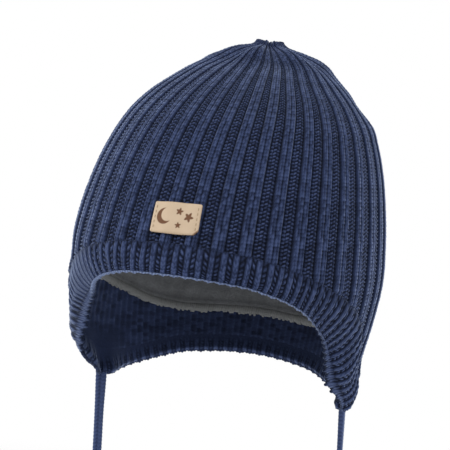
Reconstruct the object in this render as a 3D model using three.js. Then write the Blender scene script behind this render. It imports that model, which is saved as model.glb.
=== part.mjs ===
// A baby's knitted hat: ribbed crown with two ear flaps, a hem band along its whole lower
// edge, a fleece lining with its hem, a leather patch and two tie cords ending in knots.
// Millimetres, +Z up. The face looks towards -Y, the wearer's left is +X, and the origin is
// the point inside the lining's top where the head carries the hat.
import * as THREE from "three";

// Outer sizes of the hat
const hatBreadth = 149;
const hatLength = 176;
const crownHeight = 108;
const flapDrop = 62;

// Knit
const ribCount = 38;
const ribTurn = 2.3;
const ribRelief = 1.4;
const knitWall = 2.4;
const pieceGap = 0.3;

// Gathered top: soft lobes that fade out, in shares of the way down to the band
const gatherLobes = 7;
const gatherRelief = 1.6;
const gatherPhase = 0.6;
const gatherFade = { from: 0.03, to: 0.16 };

// Slack of the soft cloth
const slackDepth = 2.5;

// Hem band along the lower edge
const hemWidth = 14;
const hemWall = 2.4;
const hemRelief = 0.7;
const curlDepth = 11;
const curlReach = 16;

// Flap tips, where the cloth is drawn round into a small funnel. The flare is its widest
// share of funnelWidth, the core is the share of funnelReach that is drawn in fully, and the
// wrap is how fast the cloth turns round it.
const tipAround = 105;
const funnelReach = 30;
const funnelWidth = 9;
const funnelTuck = 0.8;
const funnelCore = 0.25;
const funnelFlare = 1.5;
const funnelWrap = 1.6;

// Lining and its hem
const liningWall = 2;
const liningGap = 1.3;
const liningTopShare = 0.86;
const liningDome = 4;
const liningHemHeight = 4;
const liningHemWall = 2.8;
const seatAround = 90;

// Leather patch, on the front
const patchWidth = 21.5;
const patchHeight = 13.2;
const patchWall = 1.2;
const patchAround = -4.6;
const patchRiseShare = 0.229;
const patchColumns = 6;
const patchRows = 3;

// Tie cords
const cordWidth = 4.5;
const cordThickness = 2.6;
const cordSides = 8;
const cordSteps = 20;
const knotWidth = 8;
const knotThickness = 7.2;
const knotHeight = 9;
const knotSides = 12;
const knotRings = 8;

// Horizontal sections from the flaps up to the gather. rise is a share of crownHeight above
// the front edge; breadth is a share of half the hat's breadth, front and back are shares of
// half its length, measured from its middle.
const sections = [
  { rise: -0.64, breadth: 0.885, front: 0.86, back: 0.86 },
  { rise: -0.50, breadth: 0.905, front: 0.93, back: 0.90 },
  { rise: -0.34, breadth: 0.945, front: 0.97, back: 0.94 },
  { rise: -0.14, breadth: 0.982, front: 0.99, back: 0.975 },
  { rise: 0.03, breadth: 1.000, front: 0.985, back: 0.99 },
  { rise: 0.20, breadth: 0.977, front: 0.925, back: 1.00 },
  { rise: 0.38, breadth: 0.932, front: 0.81, back: 0.985 },
  { rise: 0.52, breadth: 0.878, front: 0.67, back: 0.955 },
  { rise: 0.64, breadth: 0.808, front: 0.51, back: 0.91 },
  { rise: 0.74, breadth: 0.708, front: 0.33, back: 0.86 },
  { rise: 0.83, breadth: 0.568, front: 0.13, back: 0.78 },
  { rise: 0.90, breadth: 0.435, front: -0.05, back: 0.70 },
  { rise: 0.96, breadth: 0.220, front: -0.20, back: 0.58 },
  { rise: 1.00, breadth: 0.085, front: -0.28, back: 0.48 },
];

// The lower edge from the front, around 0, to the nape, around 180, the same on both sides.
// drop is a share of flapDrop below the front edge, curl a share of curlDepth towards the
// head. pickBack and pickUp place the band's upper line, in shares of hemWidth from the edge.
const edges = [
  { around: 0, drop: 0.00, curl: 0.10, pickBack: 0.00, pickUp: 1.00 },
  { around: 20, drop: 0.020, curl: 0.20, pickBack: 0.08, pickUp: 0.99 },
  { around: 35, drop: 0.080, curl: 0.45, pickBack: 0.24, pickUp: 0.97 },
  { around: 47, drop: 0.160, curl: 0.70, pickBack: 0.36, pickUp: 0.94 },
  { around: 62, drop: 0.290, curl: 1.00, pickBack: 0.42, pickUp: 0.92 },
  { around: 76, drop: 0.460, curl: 1.00, pickBack: 0.55, pickUp: 0.85 },
  { around: 86, drop: 0.680, curl: 0.80, pickBack: 0.74, pickUp: 0.76 },
  { around: 94, drop: 0.885, curl: 0.35, pickBack: 0.72, pickUp: 0.98 },
  { around: 105, drop: 1.000, curl: 0.00, pickBack: 0.32, pickUp: 1.12 },
  { around: 118, drop: 0.980, curl: 0.00, pickBack: -0.10, pickUp: 1.06 },
  { around: 133, drop: 0.905, curl: 0.10, pickBack: -0.17, pickUp: 1.00 },
  { around: 152, drop: 0.820, curl: 0.15, pickBack: -0.06, pickUp: 1.00 },
  { around: 180, drop: 0.785, curl: 0.15, pickBack: 0.00, pickUp: 1.00 },
];

// The lining's lower edge, drop in shares of flapDrop below the front edge.
const liningEdges = [
  { around: 0, drop: -0.14 },
  { around: 45, drop: -0.06 },
  { around: 75, drop: 0.06 },
  { around: 100, drop: 0.16 },
  { around: 118, drop: 0.285 },
  { around: 132, drop: 0.385 },
  { around: 148, drop: 0.425 },
  { around: 163, drop: 0.415 },
  { around: 180, drop: 0.40 },
];

// Slack dents of the soft cloth, and bulges where depth is below zero: where each one is, its
// depth as a share of slackDepth, and its spread in degrees around and shares of crownHeight.
const dents = [
  { around: 98, rise: 0.885, depth: 0.95, wide: 16, tall: 0.045 },
  { around: 100, rise: 0.765, depth: 0.73, wide: 18, tall: 0.05 },
  { around: 100, rise: 0.68, depth: -0.22, wide: 20, tall: 0.04 },
  { around: -55, rise: 0.92, depth: 0.8, wide: 24, tall: 0.04 },
  { around: -95, rise: 0.80, depth: 0.45, wide: 18, tall: 0.05 },
  { around: 160, rise: 0.80, depth: 0.9, wide: 20, tall: 0.07 },
  { around: -80, rise: 0.00, depth: 0.7, wide: 34, tall: 0.10 },
  { around: -87, rise: -0.46, depth: -3.4, wide: 32, tall: 0.26 },
  { around: 92, rise: -0.42, depth: 1.0, wide: 26, tall: 0.26 },
];

// Rows of the crown from the gather to the band, as shares of the way down.
const crownRows = [0, 0.025, 0.06, 0.11, 0.18, 0.27, 0.37, 0.48, 0.60, 0.73, 0.87, 1];
const crownInnerRows = [0, 0.05, 0.11, 0.18, 0.26, 0.35, 0.45, 0.56, 0.69, 0.84, 1];
const hemRows = [0, 0.35, 0.7, 1];
const liningRows = [0, 0.08, 0.18, 0.3, 0.45, 0.62, 0.8, 1];
const liningColumns = 48;
const domeRings = [0.35, 0.72];

// Columns of one rib, in shares of its pitch: two on the raised face, two in the channel.
const ribColumns = [
  { share: -0.25, relief: 1 },
  { share: 0.25, relief: 1 },
  { share: 0.37, relief: 0 },
  { share: 0.63, relief: 0 },
];

// Section of the lining's hem: down in shares of liningHemHeight, out in shares of its wall
// on each side of the lining's middle.
const liningHemSection = [
  { down: 0, out: 0.5 },
  { down: 0.3, out: 1 },
  { down: 0.75, out: 1 },
  { down: 1, out: 0.4 },
  { down: 1, out: -0.4 },
  { down: 0.75, out: -1 },
  { down: 0.3, out: -1 },
  { down: 0, out: -0.5 },
];

// Cord routes from each flap tip down to its knot. Both lean a little to the wearer's left.
const cordRoutes = {
  tie_cord_left: [
    [0, 0, 0], [0.5, 0.1, -8], [1.1, 0.2, -18], [1.8, 0.2, -30], [2.6, 0, -44],
    [3.3, -0.4, -58], [3.9, -1, -73], [4.3, -1.6, -88], [4.6, -2.1, -103], [4.7, -2.4, -118],
    [4.7, -2.5, -133], [4.6, -2.4, -148], [4.5, -2.2, -163], [4.4, -2, -178], [4.4, -1.9, -191],
  ],
  tie_cord_right: [
    [0, 0, 0], [0.5, -0.1, -8], [1.1, -0.2, -18], [1.9, -0.2, -30], [2.7, 0, -44],
    [3.5, 0.3, -58], [4.1, 0.8, -73], [4.6, 1.3, -88], [4.9, 1.7, -103], [5.1, 1.9, -118],
    [5.1, 1.9, -133], [5, 1.8, -148], [4.9, 1.6, -163], [4.8, 1.4, -178], [4.8, 1.3, -191],
  ],
};

const halfBreadth = hatBreadth / 2 - ribRelief;
const halfLength = hatLength / 2 - ribRelief;
const ribPitch = 360 / ribCount;
const degree = Math.PI / 180;
const meanRadius = (halfBreadth + halfLength) / 2;
const tangentStep = 1;
const slopeStep = 2;
const edgeOverrun = 1.2;

// A smooth curve through one column of a table, with no overshoot between its rows.
function columnCurve(rows, alongName, valueName) {
  const along = rows.map((row) => row[alongName]);
  const value = rows.map((row) => row[valueName]);
  const steps = along.slice(1).map((next, i) => (value[i + 1] - value[i]) / (next - along[i]));
  const slopes = along.map((_, i) => {
    if (i === 0 || i === along.length - 1) {
      return 0;
    }
    const before = steps[i - 1];
    const after = steps[i];
    return before * after > 0 ? (2 * before * after) / (before + after) : 0;
  });
  return (at) => {
    const x = Math.min(Math.max(at, along[0]), along[along.length - 1]);
    let i = 0;
    while (i < along.length - 2 && x > along[i + 1]) {
      i += 1;
    }
    const span = along[i + 1] - along[i];
    const t = (x - along[i]) / span;
    const bend = t * t * (3 - 2 * t);
    return value[i] * (1 - bend) + value[i + 1] * bend
      + slopes[i] * span * t * (1 - t) * (1 - t) - slopes[i + 1] * span * t * t * (1 - t);
  };
}

const breadthAt = columnCurve(sections, "rise", "breadth");
const frontAt = columnCurve(sections, "rise", "front");
const backAt = columnCurve(sections, "rise", "back");
const dropAt = columnCurve(edges, "around", "drop");
const curlAt = columnCurve(edges, "around", "curl");
const pickBackAt = columnCurve(edges, "around", "pickBack");
const pickUpAt = columnCurve(edges, "around", "pickUp");
const liningDropAt = columnCurve(liningEdges, "around", "drop");

// An angle around the hat brought to -180..180.
function signedAround(around) {
  return around - 360 * Math.round(around / 360);
}

// How far below the front edge the lower edge lies.
function edgeDrop(around) {
  return flapDrop * dropAt(Math.abs(signedAround(around)));
}

function smoothStep(from, to, x) {
  const t = Math.min(Math.max((x - from) / (to - from), 0), 1);
  return t * t * (3 - 2 * t);
}

// The plain form of the hat, before dents and flap tips. Height is measured from the front
// edge, and the cloth near an edge turns in towards the head.
function formPoint(around, rise) {
  const angle = around * degree;
  const breadth = halfBreadth * breadthAt(rise);
  const front = halfLength * frontAt(rise);
  const back = halfLength * backAt(rise);
  const middle = (back - front) / 2;
  const x = breadth * Math.sin(angle);
  const y = -((front + back) / 2) * Math.cos(angle);
  const side = Math.abs(signedAround(around));
  const slopeRun = 2 * slopeStep * degree * meanRadius;
  const slope = (edgeDrop(side + slopeStep) - edgeDrop(side - slopeStep)) / slopeRun;
  const fromEdge = (edgeDrop(side) + rise * crownHeight) / Math.hypot(1, slope);
  const near = Math.min(Math.max(1 - fromEdge / curlReach, 0), edgeOverrun);
  let inward = curlDepth * curlAt(side) * near * near;
  for (const dent of dents) {
    const across = signedAround(around - dent.around) / dent.wide;
    const up = (rise - dent.rise) / dent.tall;
    inward += slackDepth * dent.depth * Math.exp(-across * across - up * up);
  }
  const shrink = 1 - inward / Math.hypot(x, y);
  return new THREE.Vector3(x * shrink, middle + y * shrink, rise * crownHeight);
}

const tipRise = -flapDrop / crownHeight;
const tipPoint = formPoint(tipAround, tipRise);

// The hat's surface: the plain form, drawn round into a funnel near each flap tip.
function hatPoint(around, rise) {
  const form = formPoint(around, rise);
  const side = signedAround(around);
  const turn = side < 0 ? -1 : 1;
  const across = (Math.abs(side) - tipAround) * degree * meanRadius;
  const up = (rise - tipRise) * crownHeight;
  const reach = Math.hypot(across, up);
  const draw = funnelTuck * (1 - smoothStep(funnelCore * funnelReach, funnelReach, reach));
  if (draw <= 0) {
    return form;
  }
  const lean = Math.atan2(across, Math.max(up, 0.01));
  const flare = Math.min(Math.sqrt((2 * reach) / hemWidth), funnelFlare);
  const radius = (funnelWidth / 2) * flare;
  const outward = tipAround * degree - Math.PI / 2 + lean * funnelWrap;
  const funnel = new THREE.Vector3(
    tipPoint.x + radius * Math.cos(outward),
    tipPoint.y + radius * Math.sin(outward),
    form.z,
  );
  funnel.x *= turn;
  return form.lerp(funnel, draw);
}

// The direction that faces away from the head.
function hatNormal(around, rise) {
  const turn = tangentStep / (degree * meanRadius);
  const climb = tangentStep / crownHeight;
  const high = Math.min(rise + climb, 1);
  const right = hatPoint(around + turn, rise).sub(hatPoint(around - turn, rise));
  const up = hatPoint(around, high).sub(hatPoint(around, high - 2 * climb));
  return right.cross(up).normalize();
}

function offsetPoint(around, rise, out) {
  return hatPoint(around, rise).addScaledVector(hatNormal(around, rise), out);
}

// The band's upper line at one place along the edge.
function pickLine(around) {
  const side = signedAround(around);
  const turn = side < 0 ? -1 : 1;
  const back = hemWidth * pickBackAt(Math.abs(side)) / (degree * meanRadius);
  const up = hemWidth * pickUpAt(Math.abs(side));
  return {
    around: around + turn * back,
    rise: (up - edgeDrop(side)) / crownHeight,
  };
}

// Height of the lining's inner top above the front edge: the origin.
const liningDepth = knitWall + liningGap;
const seatHeight = offsetPoint(seatAround, liningTopShare, -liningDepth - liningWall).z + liningDome;

// Joins two rings. The first has as many points as the second, or twice or half as many.
function joinRings(index, from, fromCount, to, toCount) {
  const count = Math.min(fromCount, toCount);
  const fromStep = fromCount / count;
  const toStep = toCount / count;
  for (let c = 0; c < count; c += 1) {
    const a = from + c * fromStep;
    const b = from + ((c + 1) % count) * fromStep;
    const p = to + c * toStep;
    const q = to + ((c + 1) % count) * toStep;
    if (fromStep === 2) {
      index.push(a, p, a + 1, a + 1, p, q, a + 1, q, b);
    } else if (toStep === 2) {
      index.push(a, p, p + 1, a, p + 1, b, b, p + 1, q);
    } else {
      index.push(a, p, q, a, q, b);
    }
  }
}

// A closed body from rings of points. Each ring joins the next one, and the last one joins
// the first, unless the two ends are closed by single points.
function ringBody(rings, startPoint, endPoint) {
  const positions = [];
  const index = [];
  const starts = [];
  for (const ring of rings) {
    starts.push(positions.length / 3);
    for (const point of ring) {
      positions.push(point.x, point.y, point.z - seatHeight);
    }
  }
  const joins = startPoint ? rings.length - 1 : rings.length;
  for (let r = 0; r < joins; r += 1) {
    const next = (r + 1) % rings.length;
    joinRings(index, starts[r], rings[r].length, starts[next], rings[next].length);
  }
  if (startPoint) {
    const start = positions.length / 3;
    positions.push(startPoint.x, startPoint.y, startPoint.z - seatHeight);
    positions.push(endPoint.x, endPoint.y, endPoint.z - seatHeight);
    const last = rings.length - 1;
    for (let c = 0; c < rings[0].length; c += 1) {
      index.push(start, c, (c + 1) % rings[0].length);
    }
    for (let c = 0; c < rings[last].length; c += 1) {
      index.push(start + 1, starts[last] + ((c + 1) % rings[last].length), starts[last] + c);
    }
  }
  const body = new THREE.BufferGeometry();
  body.setAttribute("position", new THREE.Float32BufferAttribute(positions, 3));
  body.setIndex(index);
  body.computeVertexNormals();
  return body;
}

function middleOf(ring) {
  const middle = new THREE.Vector3();
  for (const point of ring) {
    middle.addScaledVector(point, 1 / ring.length);
  }
  return middle;
}

const knitColumns = [];
for (let rib = 0; rib < ribCount; rib += 1) {
  for (const { share, relief } of ribColumns) {
    knitColumns.push({ around: ribTurn + (rib + share) * ribPitch, relief });
  }
}

// One column's place on the crown, from the gather at way 0 to the band at way 1.
function crownPlace(around, way) {
  const end = pickLine(around);
  return {
    around: around + (end.around - around) * way * way * way,
    rise: 1 + (end.rise - 1) * way,
  };
}

function crownRing(columns, way, depthOf) {
  return columns.map((column) => {
    const place = crownPlace(column.around, way);
    const lobe = Math.cos(gatherLobes * column.around * degree + gatherPhase);
    const gather = gatherRelief * lobe * (1 - smoothStep(gatherFade.from, gatherFade.to, way));
    return offsetPoint(place.around, place.rise, depthOf(column) + gather);
  });
}

function makeCrown() {
  const innerColumns = knitColumns.filter((_, i) => i % 2 === 0);
  const outer = crownRows.map((way) => crownRing(knitColumns, way, (c) => c.relief * ribRelief));
  const inner = crownInnerRows.map((way) => crownRing(innerColumns, way, () => -knitWall));
  const top = middleOf(outer[0]);
  const under = middleOf(inner[0]);
  top.z -= ribRelief;
  return ringBody([...outer, ...inner.reverse()], top, under);
}

// The hem band: fine ribs square to the edge, a rounded edge, a closed ring.
function hemRing(way, depthOf) {
  return knitColumns.map((column, i) => {
    const pick = pickLine(column.around);
    const edgeRise = -edgeDrop(column.around) / crownHeight;
    const around = pick.around + (column.around - pick.around) * way;
    const rise = pick.rise + (edgeRise - pick.rise) * way;
    return offsetPoint(around, rise, depthOf(i % 2));
  });
}

function makeHemBand() {
  const start = pieceGap / hemWidth;
  const rows = hemRows.map((way) => start + (1 - start) * way);
  const outer = rows.map((way) => hemRing(way, (odd) => odd * hemRelief));
  const inner = [...rows].reverse().map((way) => hemRing(way, () => -hemWall));
  return ringBody([...outer, ...inner]);
}

function liningColumn(c) {
  return (c * 360) / liningColumns;
}

// The lining at one depth: rows from its dome to its lower edge.
function liningRings(depth) {
  return liningRows.map((way) => {
    const ring = [];
    for (let c = 0; c < liningColumns; c += 1) {
      const around = liningColumn(c);
      const low = -flapDrop * liningDropAt(Math.abs(signedAround(around))) / crownHeight;
      ring.push(offsetPoint(around, liningTopShare + (low - liningTopShare) * way, -depth));
    }
    return ring;
  });
}

// Rings that close the lining's top in a low dome.
function domeOver(ring, height) {
  const middle = middleOf(ring);
  middle.z += height;
  const rings = domeRings.map((share) => ring.map((point) => {
    const dome = new THREE.Vector3().lerpVectors(middle, point, share);
    dome.z = point.z + (middle.z - point.z) * (1 - share * share);
    return dome;
  }));
  return { middle, rings };
}

function makeLining() {
  const outer = liningRings(liningDepth);
  const inner = liningRings(liningDepth + liningWall);
  const outerDome = domeOver(outer[0], liningDome);
  const innerDome = domeOver(inner[0], liningDome);
  const rings = [...outerDome.rings, ...outer, ...[...innerDome.rings, ...inner].reverse()];
  return ringBody(rings, outerDome.middle, innerDome.middle);
}

// The lining's overlocked hem: a soft rounded cord of cloth just below its edge.
function makeLiningHem() {
  const middleDepth = liningDepth + liningWall / 2;
  const rings = liningHemSection.map(({ down, out }) => {
    const ring = [];
    for (let c = 0; c < liningColumns; c += 1) {
      const around = liningColumn(c);
      const low = -flapDrop * liningDropAt(Math.abs(signedAround(around))) / crownHeight;
      const rise = low - (pieceGap + down * liningHemHeight) / crownHeight;
      const over = out > 0 ? liningWall / 2 : liningHemWall - liningWall / 2;
      ring.push(offsetPoint(around, rise, -middleDepth + out * over));
    }
    return ring;
  });
  return ringBody(rings);
}

// The leather patch, bent over the ribs that it is sewn to.
function makePatch() {
  const turnPerMm = 1 / (degree * halfBreadth * breadthAt(patchRiseShare));
  const layer = (out) => {
    const points = [];
    for (let r = 0; r <= patchRows; r += 1) {
      for (let c = 0; c <= patchColumns; c += 1) {
        const around = patchAround + (c / patchColumns - 0.5) * patchWidth * turnPerMm;
        const rise = patchRiseShare + (r / patchRows - 0.5) * patchHeight / crownHeight;
        points.push(offsetPoint(around, rise, ribRelief + pieceGap + out));
      }
    }
    return points;
  };
  const points = [...layer(patchWall), ...layer(0)];
  const positions = points.flatMap((point) => [point.x, point.y, point.z - seatHeight]);
  const row = patchColumns + 1;
  const back = row * (patchRows + 1);
  const index = [];
  for (let r = 0; r < patchRows; r += 1) {
    for (let c = 0; c < patchColumns; c += 1) {
      const a = r * row + c;
      index.push(a, a + 1, a + row + 1, a, a + row + 1, a + row);
      index.push(back + a, back + a + row + 1, back + a + 1);
      index.push(back + a, back + a + row, back + a + row + 1);
    }
  }
  const rim = [];
  for (let c = 0; c < patchColumns; c += 1) {
    rim.push(c);
  }
  for (let r = 0; r < patchRows; r += 1) {
    rim.push(r * row + patchColumns);
  }
  for (let c = patchColumns; c > 0; c -= 1) {
    rim.push(patchRows * row + c);
  }
  for (let r = patchRows; r > 0; r -= 1) {
    rim.push(r * row);
  }
  rim.forEach((a, i) => {
    const b = rim[(i + 1) % rim.length];
    index.push(a, back + a, back + b, a, back + b, b);
  });
  const body = new THREE.BufferGeometry();
  body.setAttribute("position", new THREE.Float32BufferAttribute(positions, 3));
  body.setIndex(index);
  body.computeVertexNormals();
  return body;
}

// Where a cord leaves its flap tip: just under the funnel's rim.
function cordStart(turn) {
  const out = offsetPoint(turn * tipAround, tipRise, 0);
  const under = offsetPoint(turn * tipAround, tipRise, -hemWall);
  const start = out.add(under).multiplyScalar(0.5);
  start.z -= seatHeight + 2 * pieceGap;
  return start;
}

function cordPoints(name) {
  const start = cordStart(name === "tie_cord_left" ? 1 : -1);
  return cordRoutes[name].map(([x, y, z]) => new THREE.Vector3(x, y, z).add(start));
}

function makeCord(name) {
  const wide = name === "tie_cord_left" ? cordWidth : cordThickness;
  const deep = name === "tie_cord_left" ? cordThickness : cordWidth;
  const outline = [];
  for (let s = 0; s < cordSides; s += 1) {
    const angle = ((s + 0.5) * 2 * Math.PI) / cordSides;
    outline.push(new THREE.Vector2((wide / 2) * Math.cos(angle), (deep / 2) * Math.sin(angle)));
  }
  const path = new THREE.CatmullRomCurve3(cordPoints(name));
  return new THREE.ExtrudeGeometry(new THREE.Shape(outline), {
    steps: cordSteps,
    extrudePath: path,
    bevelEnabled: false,
  });
}

function makeKnot(name) {
  const points = cordPoints(name);
  const end = points[points.length - 1];
  const knot = new THREE.SphereGeometry(1, knotSides, knotRings);
  knot.scale(knotWidth / 2, knotThickness / 2, knotHeight / 2);
  knot.translate(end.x, end.y, end.z - knotHeight / 2 - pieceGap);
  return knot;
}

const yarn = { color: 0x3a4468, roughness: 0.95, metalness: 0 };
const fleece = { color: 0x5c5f60, roughness: 1, metalness: 0 };
const leather = { color: 0xc9ad88, roughness: 0.7, metalness: 0 };

function addPiece(group, name, body, look) {
  const mesh = new THREE.Mesh(body, new THREE.MeshStandardMaterial(look));
  mesh.name = name;
  group.add(mesh);
}

const hat = new THREE.Group();
addPiece(hat, "knit_crown", makeCrown(), yarn);
addPiece(hat, "hem_band", makeHemBand(), yarn);
addPiece(hat, "fleece_lining", makeLining(), fleece);
addPiece(hat, "lining_hem", makeLiningHem(), fleece);
addPiece(hat, "leather_patch", makePatch(), leather);
for (const side of ["left", "right"]) {
  addPiece(hat, `tie_cord_${side}`, makeCord(`tie_cord_${side}`), yarn);
  addPiece(hat, `tie_knot_${side}`, makeKnot(`tie_cord_${side}`), yarn);
}

export default hat;
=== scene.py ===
import math

import bmesh
import bpy
import numpy as np
from mathutils import Matrix, Vector


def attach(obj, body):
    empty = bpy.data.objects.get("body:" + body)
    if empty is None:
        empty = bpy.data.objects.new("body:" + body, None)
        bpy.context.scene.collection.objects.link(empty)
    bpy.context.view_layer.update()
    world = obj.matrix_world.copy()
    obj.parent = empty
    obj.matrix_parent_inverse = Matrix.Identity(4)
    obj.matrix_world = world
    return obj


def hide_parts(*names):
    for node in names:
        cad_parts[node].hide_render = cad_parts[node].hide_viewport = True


# A baby's ribbed knit hat with ear flaps and tie cords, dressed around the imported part.
# Metres, +Z up, the face towards -Y, the wearer's left towards +X.
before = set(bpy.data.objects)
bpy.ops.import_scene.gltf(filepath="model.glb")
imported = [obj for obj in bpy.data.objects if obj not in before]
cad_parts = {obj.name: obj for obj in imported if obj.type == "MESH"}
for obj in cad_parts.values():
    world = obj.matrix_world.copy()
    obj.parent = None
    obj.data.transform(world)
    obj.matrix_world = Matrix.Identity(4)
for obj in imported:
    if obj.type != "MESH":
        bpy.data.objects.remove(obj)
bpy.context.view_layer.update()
degree = math.pi / 180

# Camera, at the photograph's angle
cameraSetup = {
    "azimuth": 14.0,
    "elevation": 3.5,
    "roll": 6.8,
    "distance": 1.0,
    "lens": 168.0,
    "aim": (0.0, 0.0, -0.0714),
    "slide": -0.00333,  # along the image's right
}


def makeCamera(setup):
    azimuth, elevation, roll = (setup[k] * degree for k in ("azimuth", "elevation", "roll"))
    back = Vector((
        math.sin(azimuth) * math.cos(elevation),
        -math.cos(azimuth) * math.cos(elevation),
        math.sin(elevation),
    ))
    level = Vector((math.cos(azimuth), math.sin(azimuth), 0.0))
    above = back.cross(level)
    right = level * math.cos(roll) + above * math.sin(roll)
    up = above * math.cos(roll) - level * math.sin(roll)
    camera = bpy.data.objects.new("camera", bpy.data.cameras.new("camera"))
    camera.data.lens = setup["lens"]
    place = Vector(setup["aim"]) + right * setup["slide"] + back * setup["distance"]
    turn = Matrix((right, up, back)).transposed()
    camera.matrix_world = Matrix.Translation(place) @ turn.to_4x4()
    bpy.context.collection.objects.link(camera)
    bpy.context.scene.camera = camera


makeCamera(cameraSetup)

# Light, background and floor
stageSetup = {
    "background": 1.0,
    "backgroundColour": (1.0, 1.0, 1.0, 1.0),
    "ambient": 0.50,
    "ambientColour": (0.95, 0.97, 1.0, 1.0),
    "floorHeight": -0.40,
    "floorRadius": 1.25,
    "floorFade": 0.75,
    "floorColour": (0.82, 0.82, 0.81, 1.0),
    "lamps": [
        # name, azimuth, elevation, distance, size, power
        ("key", -34.0, 46.0, 1.6, 1.1, 11.5),
        ("left", -100.0, 12.0, 1.5, 1.2, 9.5),
        ("right", 116.0, 14.0, 1.5, 1.2, 9.5),
        ("fill", 50.0, 12.0, 1.8, 1.3, 3.0),
        ("back", 172.0, 40.0, 1.8, 1.2, 6.0),
    ],
}


def newMaterial(name):
    material = bpy.data.materials.new(name)
    material.use_nodes = True
    nodes = material.node_tree.nodes
    nodes.clear()
    return material, nodes, material.node_tree.links


def addNode(nodes, kind, inputs=None, **settings):  # a shader node, its settings and inputs
    node = nodes.new("ShaderNode" + kind)
    for setting, value in settings.items():
        setattr(node, setting, value)
    for socket, value in (inputs or {}).items():
        node.inputs[socket].default_value = value
    return node


def join(links, *wires):  # each wire: a node, its output, the next node, its input
    for start, output, end, socket in wires:
        links.new(start.outputs[output], end.inputs[socket])


def addPiece(name, mesh):
    piece = bpy.data.objects.new(name, mesh)
    bpy.context.collection.objects.link(piece)
    return piece


def makeStudio(setup):  # the camera sees a white background, the hat a softer light
    world = bpy.data.worlds.new("studio")
    world.use_nodes = True
    bpy.context.scene.world = world
    nodes, links = world.node_tree.nodes, world.node_tree.links
    nodes.clear()
    seen = addNode(nodes, "Background", {
        "Color": setup["backgroundColour"], "Strength": setup["background"]})
    lit = addNode(nodes, "Background", {
        "Color": setup["ambientColour"], "Strength": setup["ambient"]})
    path = addNode(nodes, "LightPath")
    mix = addNode(nodes, "MixShader")
    out = addNode(nodes, "OutputWorld")
    join(links,
         (path, "Is Camera Ray", mix, 0), (lit, 0, mix, 1), (seen, 0, mix, 2),
         (mix, 0, out, "Surface"))


def makeLamp(name, azimuth, elevation, distance, size, power):
    lamp = addPiece(name, bpy.data.lights.new(name, "AREA"))
    lamp.data.energy = power
    lamp.data.size = size
    a, e = azimuth * degree, elevation * degree
    towards = Vector((math.sin(a) * math.cos(e), -math.cos(a) * math.cos(e), math.sin(e)))
    lamp.location = Vector(cameraSetup["aim"]) + towards * distance
    lamp.rotation_mode = "QUATERNION"
    lamp.rotation_quaternion = towards.to_track_quat("Z", "Y")


def makeFloor(setup):  # a round floor that fades out before its edge
    bm = bmesh.new()
    bmesh.ops.create_circle(bm, cap_ends=True, segments=96, radius=setup["floorRadius"])
    bmesh.ops.translate(bm, vec=(0.0, 0.0, setup["floorHeight"]), verts=bm.verts)
    mesh = bpy.data.meshes.new("floor")
    bm.to_mesh(mesh)
    bm.free()
    material, nodes, links = newMaterial("floor_paint")
    coords = addNode(nodes, "TexCoord")
    flat = addNode(nodes, "VectorMath", {1: (1.0, 1.0, 0.0)}, operation="MULTIPLY")
    reach = addNode(nodes, "VectorMath", operation="LENGTH")
    fade = addNode(nodes, "MapRange", {
        "From Min": setup["floorFade"], "From Max": setup["floorRadius"],
    }, interpolation_type="SMOOTHSTEP")
    paint = addNode(nodes, "BsdfDiffuse", {"Color": setup["floorColour"]})
    clear = addNode(nodes, "BsdfTransparent")
    mix = addNode(nodes, "MixShader")
    out = addNode(nodes, "OutputMaterial")
    join(links,
         (coords, "Object", flat, 0), (flat, 0, reach, 0), (reach, "Value", fade, "Value"),
         (fade, "Result", mix, 0), (paint, 0, mix, 1), (clear, 0, mix, 2),
         (mix, 0, out, "Surface"))
    mesh.materials.append(material)
    addPiece("floor", mesh)


def makeStage(setup):
    bpy.context.scene.view_settings.view_transform = "Standard"
    makeStudio(setup)
    for lamp in setup["lamps"]:
        makeLamp(*lamp)
    makeFloor(setup)


makeStage(stageSetup)
print("camera and stage ready")

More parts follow.
